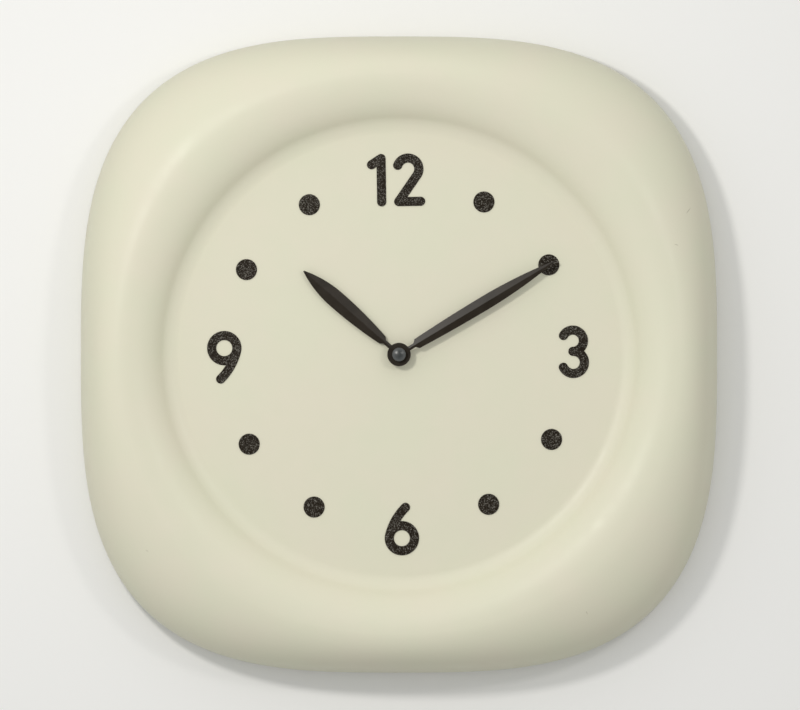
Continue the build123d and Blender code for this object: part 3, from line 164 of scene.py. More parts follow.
class NodeBench:
    """Lays out nodes on one tree."""

    def __init__(self, tree: NodeTree) -> None:
        """Starts on a tree."""
        self.tree = tree

    def node(self, kind: str, *sources: object, **named: object) -> Node:
        """Adds a node and feeds its sockets.

        Args:
            kind: Kind of the node.
            sources: What its first sockets get, in order.
            named: What other sockets get, by their names.

        Returns:
            The node.
        """
        node = self.tree.nodes.new(kind)
        for socket, source in zip(node.inputs, sources):
            self.feed(socket, source)
        for socket, source in named.items():
            self.feed(node.inputs[socket], source)
        return node

    def feed(self, target: NodeSocket, source: object) -> None:
        """Links a socket to another, or sets it to a value.

        Args:
            target: Socket that is fed.
            source: Socket, colour, number or vector that it gets.
        """
        if isinstance(source, NodeSocket):
            self.tree.links.new(source, target)
        elif isinstance(source, Tint):
            target.default_value = source.linear
        else:
            target.default_value = source

    def reckon(self, kind: str, operation: str, first: object, second: object) -> NodeSocket:
        """Works out a value from two numbers or two vectors.

        Args:
            kind: Kind of the node that does it.
            operation: What it works out.
            first: First value or socket.
            second: Second value or socket.

        Returns:
            The value.
        """
        node = self.node(kind, first, second)
        node.operation = operation
        return node.outputs["Value"]

    def spread(
        self, value: NodeSocket, low: float, high: float, first: object = 0.0, second: object = 1.0
    ) -> NodeSocket:
        """Spreads a stretch of a value over a new range.

        Args:
            value: Value to spread.
            low: Value at the start of the stretch.
            high: Value at its end.
            first: Result at the start.
            second: Result at the end.

        Returns:
            The spread value, held at the ends of its range.
        """
        return self.node("ShaderNodeMapRange", value, low, high, first, second).outputs[0]

    def seen(self) -> NodeSocket:
        """Tells rays that are seen, mirrored or let through from those that only carry light.

        Returns:
            One for a ray that shows the surface, and zero for any other.
        """
        path = self.node("ShaderNodeLightPath")
        shown = path.outputs["Is Camera Ray"]
        for ray in ("Is Glossy Ray", "Is Transmission Ray"):
            shown = self.reckon("ShaderNodeMath", "MAXIMUM", shown, path.outputs[ray])
        return shown


class NodeSheet(NodeBench):
    """Lays out the shader nodes of one material."""

    def __init__(self, name: str) -> None:
        """Starts a material.

        Args:
            name: Name of the material.
        """
        self.material = bpy.data.materials.new(name)
        self.material.use_nodes = True
        super().__init__(self.material.node_tree)
        self.shader = self.tree.nodes["Principled BSDF"]
        self.place = self.node("ShaderNodeTexCoord").outputs["Object"]
        self.normal: NodeSocket | None = None

    def put(self, socket: str, source: object) -> None:
        """Feeds one of the shader's own sockets."""
        self.feed(self.shader.inputs[socket], source)

    def mapped(self, centre: Vector, turn: float, size: Vector) -> NodeSocket:
        """Places a pattern on the piece.

        Args:
            centre: Point of the piece where the pattern has its origin.
            turn: Turn of the pattern about the hands' direction.
            size: Size of the pattern along its own axes.

        Returns:
            Coordinates that are zero at the centre and one at the pattern's size.
        """
        mapping = self.node("ShaderNodeMapping", self.place, centre, (0, turn, 0), size)
        mapping.vector_type = "TEXTURE"
        return mapping.outputs["Vector"]

    def noise(self, grain: float, detail: float = 2.0, stretch: Triple = (1.0, 1.0, 1.0)) -> NodeSocket:
        """Adds a cloudy pattern.

        Args:
            grain: Size of its grains.
            detail: How many finer layers it has.
            stretch: How much longer the grains are along each axis.

        Returns:
            The pattern's value.
        """
        place = self.mapped(ORIGIN, 0, Vector(stretch))
        return self.node("ShaderNodeTexNoise", place, Scale=1 / grain, Detail=detail).outputs[0]

    def blend(self, share: NodeSocket, first: object, second: object) -> NodeSocket:
        """Blends two colours.

        Args:
            share: Share of the second colour.
            first: Colour or socket where the share is zero.
            second: Colour or socket where the share is one.

        Returns:
            The blended colour.
        """
        mixer = self.node("ShaderNodeMix")
        mixer.data_type = "RGBA"
        # The sockets for colours come after those for numbers and vectors
        for place, source in ((0, share), (6, first), (7, second)):
            self.feed(mixer.inputs[place], source)
        return mixer.outputs[2]

    def relief(self, height: NodeSocket, depth: float, strength: float) -> None:
        """Adds a fine relief over any that is there already.

        Args:
            height: Pattern of the relief.
            depth: Depth between its low and high places.
            strength: How strongly it turns the light.
        """
        bump = self.node("ShaderNodeBump", Strength=strength, Distance=depth, Height=height)
        if self.normal is not None:
            self.feed(bump.inputs["Normal"], self.normal)
        self.normal = bump.outputs["Normal"]
        self.put("Normal", self.normal)


@dataclass(frozen=True)
class Scratch:
    """One short mark in the paint, placed from the hands' axis."""

    across: float
    up: float
    turn: float
    length: float
    width: float


@dataclass(frozen=True)
class CreamPaint:
    """Satin cream paint with a faint orange peel, clouds of warmer colour and a few marks."""

    name: str = "cream_satin_paint"
    cool: Tint = Tint(222, 221, 199)
    warm: Tint = Tint(224, 220, 200)
    mark: Tint = Tint(168, 160, 138)
    cloud: float = 34 * MM
    sheen: float = 8.5 * MM
    roughness: Pair = (0.36, 0.46)
    specular: float = 0.32
    peel: float = 1.6 * MM
    peel_depth: float = 0.012 * MM
    peel_strength: float = 0.5
    fleck: float = 0.35 * MM
    fleck_depth: float = 0.003 * MM
    fleck_strength: float = 0.35
    # Far deeper than the shell, so that a mark fades along the face alone
    mark_depth: float = 1000.0
    mark_core: float = 0.4
    mark_cover: float = 0.6
    marks: tuple[Scratch, ...] = (
        Scratch(135.8 * MM, 67.5 * MM, -0.9, 4.2 * MM, 0.5 * MM),
        Scratch(129.9 * MM, 51.4 * MM, 0.3, 2.6 * MM, 0.45 * MM),
        Scratch(-118.0 * MM, -92.0 * MM, 0.6, 1.8 * MM, 0.4 * MM),
        Scratch(88.0 * MM, -121.0 * MM, 1.2, 2.2 * MM, 0.4 * MM),
    )

    def material(self) -> Material:
        """Mixes the paint.

        Returns:
            The finished material.
        """
        sheet = NodeSheet(self.name)
        clouds = sheet.spread(sheet.noise(self.cloud, detail=3.0), *MILD_BAND)
        colour = sheet.blend(clouds, self.cool, self.warm)
        for mark in self.marks:
            colour = sheet.blend(self.marking(sheet, mark), colour, self.mark)
        sheet.put("Base Color", colour)
        sheet.put("Roughness", sheet.spread(sheet.noise(self.sheen), *WIDE_BAND, *self.roughness))
        sheet.put("Specular IOR Level", self.specular)
        sheet.relief(sheet.noise(self.peel), self.peel_depth, self.peel_strength)
        sheet.relief(sheet.noise(self.fleck, detail=1.0), self.fleck_depth, self.fleck_strength)
        return sheet.material

    def marking(self, sheet: NodeSheet, mark: Scratch) -> NodeSocket:
        """Draws one short mark.

        Args:
            sheet: Material that the mark is drawn on.
            mark: Place and size of the mark.

        Returns:
            How far the mark covers the paint, most along its middle and nothing outside it.
        """
        centre = Vector((AXIS.x + mark.across, 0, AXIS.z + mark.up))
        size = Vector((mark.length / 2, self.mark_depth, mark.width / 2))
        place = sheet.mapped(centre, mark.turn, size)
        reach = sheet.reckon("ShaderNodeVectorMath", "DISTANCE", place, ORIGIN)
        return sheet.spread(reach, 1.0, self.mark_core, 0.0, self.mark_cover)


@dataclass(frozen=True)
class GrainyPrint:
    """Thick black print, rough with grains, with pale specks painted into its colour that are partly the
    ink's flecks and partly painted glints of light.
    """

    name: str = "grainy_black_print"
    ground: Tint = Tint(27, 20, 11)
    worn: Tint = Tint(42, 35, 25)
    # Pale speck colour: partly flecks in the ink, partly painted glints where grains would catch the
    # lamps
    fleck_and_painted_glint: Tint = Tint(112, 109, 102)
    grain: float = 0.45 * MM
    fleck_and_glint_grain: float = 0.38 * MM
    depth: float = 0.09 * MM
    strength: float = 0.6
    worn_band: Pair = (0.4, 0.65)
    fleck_and_glint_band: Pair = (0.56, 0.74)
    roughness: Pair = (0.5, 0.34)
    specular: float = 0.14

    def material(self) -> Material:
        """Mixes the print.

        Returns:
            The finished material.
        """
        sheet = NodeSheet(self.name)
        grains = sheet.noise(self.grain, detail=1.0)
        # Pale specks painted into the base colour, partly flecks in the ink and partly painted glints of
        # light
        flecks_and_painted_glints = sheet.spread(sheet.noise(self.fleck_and_glint_grain, detail=0.0), *self.fleck_and_glint_band)
        ground = sheet.blend(sheet.spread(grains, *self.worn_band), self.ground, self.worn)
        sheet.put("Base Color", sheet.blend(flecks_and_painted_glints, ground, self.fleck_and_painted_glint))
        sheet.put("Roughness", sheet.spread(grains, *WIDE_BAND, *self.roughness))
        sheet.put("Specular IOR Level", self.specular)
        sheet.relief(grains, self.depth, self.strength)
        return sheet.material


@dataclass(frozen=True)
class HandPaint:
    """Satin black paint on pressed sheet."""

    name: str
    deep: Tint
    faded: Tint
    roughness: Pair
    specular: float
    cloud: float = 5 * MM
    grain: float = 0.3 * MM
    depth: float = 0.004 * MM
    strength: float = 0.4

    def material(self) -> Material:
        """Mixes the paint.

        Returns:
            The finished material.
        """
        sheet = NodeSheet(self.name)
        clouds = sheet.noise(self.cloud, detail=3.0)
        sheet.put("Base Color", sheet.blend(sheet.spread(clouds, *MILD_BAND), self.deep, self.faded))
        sheet.put("Roughness", sheet.spread(clouds, *WIDE_BAND, *self.roughness))
        sheet.put("Specular IOR Level", self.specular)
        sheet.relief(sheet.noise(self.grain, detail=1.0), self.depth, self.strength)
        return sheet.material


@dataclass(frozen=True)
class MouldedPlastic:
    """Moulded plastic with a fine grain."""

    name: str
    base: Tint
    shade: Tint
    roughness: Pair = (0.45, 0.6)
    grain: float = 0.4 * MM
    depth: float = 0.02 * MM
    strength: float = 0.5
    cloud: float = 24 * MM
    sheen: float = 8 * MM

    def material(self) -> Material:
        """Mixes the plastic.

        Returns:
            The finished material.
        """
        sheet = NodeSheet(self.name)
        clouds = sheet.noise(self.cloud, detail=3.0)
        sheet.put("Base Color", sheet.blend(sheet.spread(clouds, *WIDE_BAND), self.base, self.shade))
        sheet.put("Roughness", sheet.spread(sheet.noise(self.sheen), *WIDE_BAND, *self.roughness))
        sheet.relief(sheet.noise(self.grain), self.depth, self.strength)
        return sheet.material


@dataclass(frozen=True)
class WorkedMetal:
    """Metal with fine lines left by rolling, turning or winding."""

    name: str
    base: Tint
    shade: Tint
    roughness: Pair = (0.25, 0.42)
    line: float = 0.15 * MM
    stretch: Triple = (12.0, 1.0, 1.0)
    depth: float = 0.01 * MM
    strength: float = 0.4
    cloud_lines: float = 20.0

    def material(self) -> Material:
        """Mixes the metal.

        Returns:
            The finished material.
        """
        sheet = NodeSheet(self.name)
        lines = sheet.noise(self.line, stretch=self.stretch)
        clouds = sheet.noise(self.cloud_lines * self.line)
        sheet.put("Metallic", 1.0)
        sheet.put("Base Color", sheet.blend(sheet.spread(clouds, *WIDE_BAND), self.base, self.shade))
        sheet.put("Roughness", sheet.spread(lines, *WIDE_BAND, *self.roughness))
        sheet.relief(lines, self.depth, self.strength)
        return sheet.material


@dataclass(frozen=True)
class CellSleeve:
    """Printed sleeve of the battery, with a pale band at its button end."""

    body: Tint = Tint(46, 62, 84)
    band: Tint = Tint(196, 198, 200)
    band_share: float = 0.2
    edge: float = 0.15 * MM
    scuff: Tint = Tint(150, 152, 154)
    scuff_grain: float = 0.6 * MM
    scuff_stretch: Triple = (8.0, 1.0, 1.0)
    scuff_band: Pair = (0.62, 0.75)
    scuff_cover: float = 0.25
    roughness: Pair = (0.3, 0.5)
    coat: float = 0.3
    ripple: float = 4 * MM
    ripple_depth: float = 0.02 * MM
    ripple_strength: float = 0.3

    def material(self) -> Material:
        """Mixes the sleeve.

        Returns:
            The finished material.
        """
        cell = Extent.of("battery_cell")
        band_start = AXIS.x + cell.right - self.band_share * (cell.right - cell.left)
        sheet = NodeSheet("printed_cell_sleeve")
        axes = sheet.node("ShaderNodeSeparateXYZ", sheet.place)
        banded = sheet.spread(axes.outputs["X"], band_start - self.edge, band_start + self.edge)
        rubbed = sheet.noise(self.scuff_grain, detail=4.0, stretch=self.scuff_stretch)
        scuffs = sheet.spread(rubbed, *self.scuff_band, 0.0, self.scuff_cover)
        printed = sheet.blend(banded, self.body, self.band)
        sheet.put("Base Color", sheet.blend(scuffs, printed, self.scuff))
        sheet.put("Roughness", sheet.spread(scuffs, 0.0, self.scuff_cover, *self.roughness))
        sheet.put("Coat Weight", self.coat)
        sheet.relief(sheet.noise(self.ripple), self.ripple_depth, self.ripple_strength)
        return sheet.material


class Paintbox:
    """Every finish of the clock, mixed once."""

    def __init__(self) -> None:
        """Mixes the finishes."""
        self.shell = CreamPaint().material()
        self.cover = MouldedPlastic(
            "moulded_cream", Tint(221, 219, 197), Tint(218, 216, 194)
        ).material()
        self.ink = GrainyPrint().material()
        self.hand = HandPaint(
            "satin_black_hand_paint", Tint(33, 25, 13), Tint(38, 30, 18), (0.33, 0.38), 0.55
        ).material()
        self.cap = HandPaint(
            "grey_cap_paint", Tint(60, 63, 63), Tint(68, 70, 70), (0.28, 0.34), 0.7
        ).material()
        self.brass = WorkedMetal("turned_brass", Tint(206, 172, 104), Tint(184, 148, 82)).material()
        self.steel = WorkedMetal("zinc_steel", Tint(190, 191, 190), Tint(160, 161, 160)).material()
        self.iron = WorkedMetal("soft_iron", Tint(120, 118, 114), Tint(96, 94, 92)).material()
        self.magnet = WorkedMetal(
            "sintered_magnet", Tint(84, 84, 86), Tint(66, 66, 68), (0.5, 0.7), 0.2 * MM, (1, 1, 1)
        ).material()
        self.copper = WorkedMetal(
            "enamelled_wire", Tint(196, 112, 62), Tint(164, 86, 44), (0.25, 0.4), 0.12 * MM, (1, 8, 8)
        ).material()
        self.movement = MouldedPlastic("moulded_black", Tint(32, 32, 33), Tint(40, 40, 41)).material()
        self.gear = MouldedPlastic(
            "moulded_white", Tint(226, 226, 222), Tint(214, 213, 206)
        ).material()
        self.board = MouldedPlastic("lacquered_board", Tint(36, 92, 58), Tint(28, 78, 48)).material()
        self.resin = MouldedPlastic(
            "black_resin", Tint(22, 21, 21), Tint(30, 29, 28), (0.2, 0.35)
        ).material()
        self.cell = CellSleeve().material()


def hang(name: str, data: BMesh | ID) -> Object:
    """Puts a new object into the scene.

    Args:
        name: Name of the object.
        data: Its lamp or camera, or its bench geometry, which is used up here.

    Returns:
        The object.
    """
    if isinstance(data, BMesh):
        mesh = bpy.data.meshes.new(name)
        data.to_mesh(mesh)
        data.free()
        data = mesh
    hung = bpy.data.objects.new(name, data)
    bpy.context.scene.collection.objects.link(hung)
    return hung


def settle(
    work: BMesh,
    name: str,
    material: Material,
    body: Body,
    nodes: tuple[str, ...] = (),
    crease: float = 35.0,
) -> Object:
    """Makes a finished piece from bench geometry in the clock's own frame.

    Args:
        work: Geometry of the piece, used up here.
        name: Name of the piece.
        material: Its finish.
        body: Body that it rides on.
        nodes: CAD nodes that it stands for.
        crease: Angle in degrees from which an edge is drawn sharp.

    Returns:
        The piece's object.
    """
    piece = hang(name, work)
    mesh = piece.data
    mesh.shade_smooth()
    mesh.set_sharp_from_angle(angle=math.radians(crease))
    mesh.materials.append(material)
    piece.modifiers.new("even_normals", "WEIGHTED_NORMAL").keep_sharp = True
    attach(piece, body.value)
    if nodes:
        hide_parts(*nodes)
    log.info("%s: %d faces on %s", name, len(mesh.polygons), body.value)
    return piece


def softened(node: str, width: float, segments: int = 2, sharp: float = 30.0) -> BMesh:
    """Copies a CAD node and rounds its sharp edges.

    Args:
        node: Name of the CAD node.
        width: Width of the rounding.
        segments: Number of faces across the rounding.
        sharp: Angle in degrees from which an edge is rounded.

    Returns:
        The rounded copy.
    """
    work = bmesh.new()
    work.from_mesh(frame["nodes"][node].data)
    bmesh.ops.remove_doubles(work, verts=work.verts, dist=WELD)
    bmesh.ops.dissolve_limit(
        work, angle_limit=FLAT_ANGLE, verts=work.verts, edges=work.edges, use_dissolve_boundaries=False
    )
    edges = [edge for edge in work.edges if edge.is_manifold]
    edges = [edge for edge in edges if edge.calc_face_angle() > math.radians(sharp)]
    bmesh.ops.bevel(
        work,
        geom=edges,
        offset=width,
        offset_type="OFFSET",
        affect="EDGES",
        segments=segments,
        profile=0.5,
        material=-1,
        clamp_overlap=True,
    )
    return work


def carved(work: BMesh, cutter: BMesh) -> BMesh:
    """Cuts one shape out of another.

    Args:
        work: Shape that is cut, used up here.
        cutter: Shape that is taken out of it, used up here.

    Returns:
        The cut shape.
    """
    blank = hang("blank", work)
    tool = hang("cutter", cutter)
    cut = blank.modifiers.new("cut", "BOOLEAN")
    cut.operation = "DIFFERENCE"
    cut.solver = "EXACT"
    cut.object = tool
    result = bmesh.new()
    result.from_object(blank, bpy.context.evaluated_depsgraph_get())
    for used in (blank, tool):
        # An object goes with its mesh
        bpy.data.meshes.remove(used.data)
    return result


def chain(work: BMesh, points: list[Vector], closed: bool = False) -> list[BMVert | BMEdge]:
    """Joins points into a line.

    Args:
        work: Geometry that the line is added to.
        points: Points in order.
        closed: Whether the last point is joined to the first.

    Returns:
        The line's vertices and edges.
    """
    vertices = [work.verts.new(point) for point in points]
    following = vertices[1:] + vertices[:1] if closed else vertices[1:]
    edges = [work.edges.new(pair) for pair in zip(vertices, following)]
    return vertices + edges


def lathe(
    work: BMesh,
    line: list[BMVert | BMEdge],
    steps: int,
    axis: Vector = FACING,
    centre: Vector = ORIGIN,
) -> None:
    """Turns a line about an axis into a round skin.

    Args:
        work: Geometry that holds the line and takes the skin.
        line: Vertices and edges of the line.
        steps: Number of faces round the skin.
        axis: Direction of the axis.
        centre: Point on the axis.
    """
    bmesh.ops.spin(
        work, geom=line, cent=centre, axis=axis, angle=FULL_TURN, steps=steps, use_merge=True
    )
    bmesh.ops.remove_doubles(work, verts=work.verts, dist=WELD)
    bmesh.ops.recalc_face_normals(work, faces=work.faces)


def arc(centre: Pair, radii: Pair, start: float, end: float, steps: int) -> list[Pair]:
    """Points along part of an ellipse.

    Args:
        centre: Middle of the ellipse.
        radii: Its half sizes.
        start: Angle of the first point.
        end: Angle of the last point.
        steps: Number of steps between them.

    Returns:
        The points in order.
    """
    angles = [start + (end - start) * step / steps for step in range(steps + 1)]
    return [
        (centre[0] + radii[0] * math.cos(angle), centre[1] + radii[1] * math.sin(angle))
        for angle in angles
    ]


@dataclass
class CaseShell:
    """Moulded shell: a square cushion rim round a sunk round dial, open at the back."""

    paintbox: Paintbox
    rim_width: float = 46.5 * MM
    rim_rise: float = 14 * MM
    crest_arc: float = 24 * MM
    dial_fillet: float = 10 * MM
    skirt_height: float = 9 * MM
    wall: float = 2.5 * MM
    lip: float = 0.8 * MM
    bush_hole: float = 4.2 * MM
    boss_radius: float = 4 * MM
    boss_start: float = 5.2 * MM
    outline_power: float = 3.12
    blend_power: int = 3
    turn_steps: int = 256
    dial_steps: int = 12
    crest_steps: int = 16
    flank_steps: int = 30
    lip_steps: int = 4
    boss_count: int = 8
    boss_steps: int = 32
    crease: float = 40.0

    def __post_init__(self) -> None:
        """Works out the levels and radii that follow from the sizes."""
        box = Extent.of("case_shell")
        self.half_width = box.right
        self.crest_level = box.front
        self.dial_level = self.crest_level - self.rim_rise
        self.dial_radius = self.half_width - self.rim_width
        arcs = self.crest_arc + self.dial_fillet
        self.rim_turn = math.acos(1 - self.rim_rise / arcs)
        self.crest_radius = self.dial_radius + arcs * math.sin(self.rim_turn)

    def outline_radius(self, angle: float, half_width: float) -> float:
        """Works out the soft square outline at an angle.

        Args:
            angle: Angle about the axis.
            half_width: Half width of the outline.

        Returns:
            Distance from the axis to the outline.
        """
        across = abs(math.cos(angle)) ** self.outline_power
        upward = abs(math.sin(angle)) ** self.outline_power
        return half_width / (across + upward) ** (1 / self.outline_power)

    def ring_radius(self, radius: float, half_width: float, angle: float) -> float:
        """Radius of a ring of the rim, round at the dial and square at the outline.

        Args:
            radius: Radius of the ring on the clock's sides.
            half_width: Half width of the skin that the ring is on.
            angle: Angle about the axis.

        Returns:
            The ring's radius at that angle.
        """
        share = max(radius - self.dial_radius, 0) / (half_width - self.dial_radius)
        growth = self.outline_radius(angle, half_width) - half_width
        return radius + share**self.blend_power * growth

    def section(self, inset: float) -> list[Vector]:
        """Side section of one skin, from the bush hole over the crest to the rear edge.

        Args:
            inset: Depth of the skin under the painted face.

        Returns:
            Points of the section, in the plane of x and z.
        """
        half_width = self.half_width - inset
        top = self.crest_level - inset
        fillet = self.dial_fillet + inset
        crest = self.crest_arc - inset
        lip = self.lip if inset == 0 else -self.lip / 2
        points = [(self.bush_hole, self.dial_level - inset)]
        points += arc(
            (self.dial_radius, self.dial_level + self.dial_fillet), (fillet, fillet),
            -QUARTER_TURN, self.rim_turn - QUARTER_TURN, self.dial_steps,
        )
        points += arc(
            (self.crest_radius, self.crest_level - self.crest_arc), (-crest, crest),
            QUARTER_TURN - self.rim_turn, QUARTER_TURN, self.crest_steps,
        )[1:]
        points += arc(
            (self.crest_radius, self.skirt_height),
            (half_width - self.crest_radius, top - self.skirt_height),
            QUARTER_TURN, 0, self.flank_steps,
        )[1:]
        points += arc((half_width - lip, abs(lip)), (lip, abs(lip)), 0, -QUARTER_TURN, self.lip_steps)
        return [Vector((reach, 0, level)) for reach, level in points]

    def skins(self, work: BMesh) -> None:
        """Adds both skins of the shell as one turned section, drawn out to the square outline.

        Args:
            work: Geometry that the skins are added to.
        """
        outer = self.section(0)
        inner = self.section(self.wall)
        depth = work.verts.layers.float.new("depth")
        line = chain(work, outer + inner[::-1], closed=True)
        for vertex in line[len(outer):len(outer) + len(inner)]:
            vertex[depth] = self.wall
        lathe(work, line, self.turn_steps)
        for vertex in work.verts:
            radius = vertex.co.xy.length
            angle = math.atan2(vertex.co.y, vertex.co.x)
            vertex.co.xy *= self.ring_radius(radius, self.half_width - vertex[depth], angle) / radius
        work.verts.layers.float.remove(depth)

    def bosses(self, work: BMesh) -> None:
        """Adds the bosses for the cover screws, under the crest.

        Args:
            work: Geometry that the bosses are added to.
        """
        height = self.crest_level - self.wall / 2 - self.boss_start
        level = self.boss_start + height / 2
        for index in range(self.boss_count):
            angle = FULL_TURN * (index + 0.5) / self.boss_count
            reach = self.ring_radius(self.crest_radius, self.half_width, angle)
            middle = Vector((reach * math.cos(angle), reach * math.sin(angle), level))
            bmesh.ops.create_cone(
                work,
                cap_ends=True,
                segments=self.boss_steps,
                radius1=self.boss_radius,
                radius2=self.boss_radius,
                depth=height,
                matrix=Matrix.Translation(middle),
            )

    def build(self) -> Object:
        """Builds the shell and paints it.

        Returns:
            The shell's object.
        """
        work = bmesh.new()
        self.skins(work)
        self.bosses(work)
        work.transform(STAND_UP)
        return settle(
            work, "shell", self.paintbox.shell, Body.CASE, ("case_shell",), self.crease
        )


@dataclass
class DialPrint:
    """Printed numerals and dots, standing a little proud of the dial."""

    paintbox: Paintbox
    edge: float = 0.12 * MM
    edge_steps: int = 3
    nodes: tuple[str, ...] = ("numeral_12", "numeral_3", "numeral_6", "numeral_9", "hour_dots")

    def build(self) -> None:
        """Builds every pad of print."""
        for node in self.nodes:
            work = softened(node, self.edge, self.edge_steps)
            settle(work, f"printed_{node}", self.paintbox.ink, Body.CASE, (node,))


@dataclass
class HandSet:
    """Two pressed hands and the cap that covers the pipe's end."""

    paintbox: Paintbox
    edge: float = 0.09 * MM
    sharp: float = 20.0
    crease: float = 8.0
    cap_skirt: float = 1.5 * MM
    cap_edge: float = 0.5 * MM
    cap_steps: int = 64
    dome_steps: int = 16
    edge_steps: int = 4

    def hand(self, node: str, body: Body) -> None:
        """Builds one hand with softened edges."""
        work = softened(node, self.edge, sharp=self.sharp)
        settle(work, f"pressed_{node}", self.paintbox.hand, body, (node,), self.crease)

    def cap(self) -> None:
        """Builds the domed cap as a turned piece with a hollow underside."""
        box = Extent.of("hand_cap")
        radius = box.right
        rise = box.front - box.rear - self.cap_skirt
        dome = (radius**2 + rise**2) / (2 * rise)
        sweep = math.asin((radius - self.cap_edge) / dome)
        end = QUARTER_TURN - sweep
        points = arc((0, box.front - dome), (dome, dome), QUARTER_TURN, end, self.dome_steps)
        roof = points[-1][1] - self.cap_edge
        edge = (self.cap_edge, self.cap_edge)
        points += arc((radius - self.cap_edge, roof), edge, end, 0, self.edge_steps)[1:]
        points += [(radius, box.rear), (radius / 2, box.rear), (radius / 2, roof), (0, roof)]
        work = bmesh.new()
        line = chain(work, [Vector((reach, 0, level)) for reach, level in points])
        lathe(work, line, self.cap_steps)
        work.transform(STAND_UP)
        settle(work, "domed_cap", self.paintbox.cap, Body.MINUTE_HAND, ("hand_cap",))

    def build(self) -> None:
        """Builds the hands and the cap."""
        self.hand("hour_hand", Body.HOUR_HAND)
        self.hand("minute_hand", Body.MINUTE_HAND)
        self.cap()


@dataclass
class RearCover:
    """Cover let into the back of the shell, with two grooves along the outline, and its screws."""

    paintbox: Paintbox
    shell: CaseShell
    edge: float = 0.4 * MM
    screw_edge: float = 0.3 * MM
    screw_steps: int = 3
    groove_reaches: tuple[float, ...] = (110 * MM, 114 * MM)
    groove_width: float = 1.8 * MM
    groove_depth: float = 0.5 * MM
    groove_steps: int = 24

    def grooves(self) -> BMesh:
        """Makes the rings that are cut out of the cover.

        Returns:
            The rings, round in section and drawn out to the soft square outline.
        """
        work = bmesh.new()
        radius = ((self.groove_width / 2) ** 2 + self.groove_depth**2) / (2 * self.groove_depth)
        for reach in self.groove_reaches:
            middle = (reach, self.groove_depth - radius)
            ring = arc(middle, (radius, radius), 0, FULL_TURN, self.groove_steps)
            section = [Vector((out, 0, level)) for out, level in ring[:-1]]
            lathe(work, chain(work, section, closed=True), self.shell.turn_steps)
        for vertex in work.verts:
            angle = math.atan2(vertex.co.y, vertex.co.x)
            vertex.co.xy *= self.shell.outline_radius(angle, 1)
        work.transform(STAND_UP)
        return work

    def build(self) -> None:
        """Builds the cover and the screws."""
        cover = carved(softened("rear_cover", self.edge), self.grooves())
        settle(cover, "back_cover", self.paintbox.cover, Body.CASE, ("rear_cover",))
        for node in ("cover_screws", "movement_screws"):
            work = softened(node, self.screw_edge, self.screw_steps)
            settle(work, f"plated_{node}", self.paintbox.steel, Body.CASE, (node,))


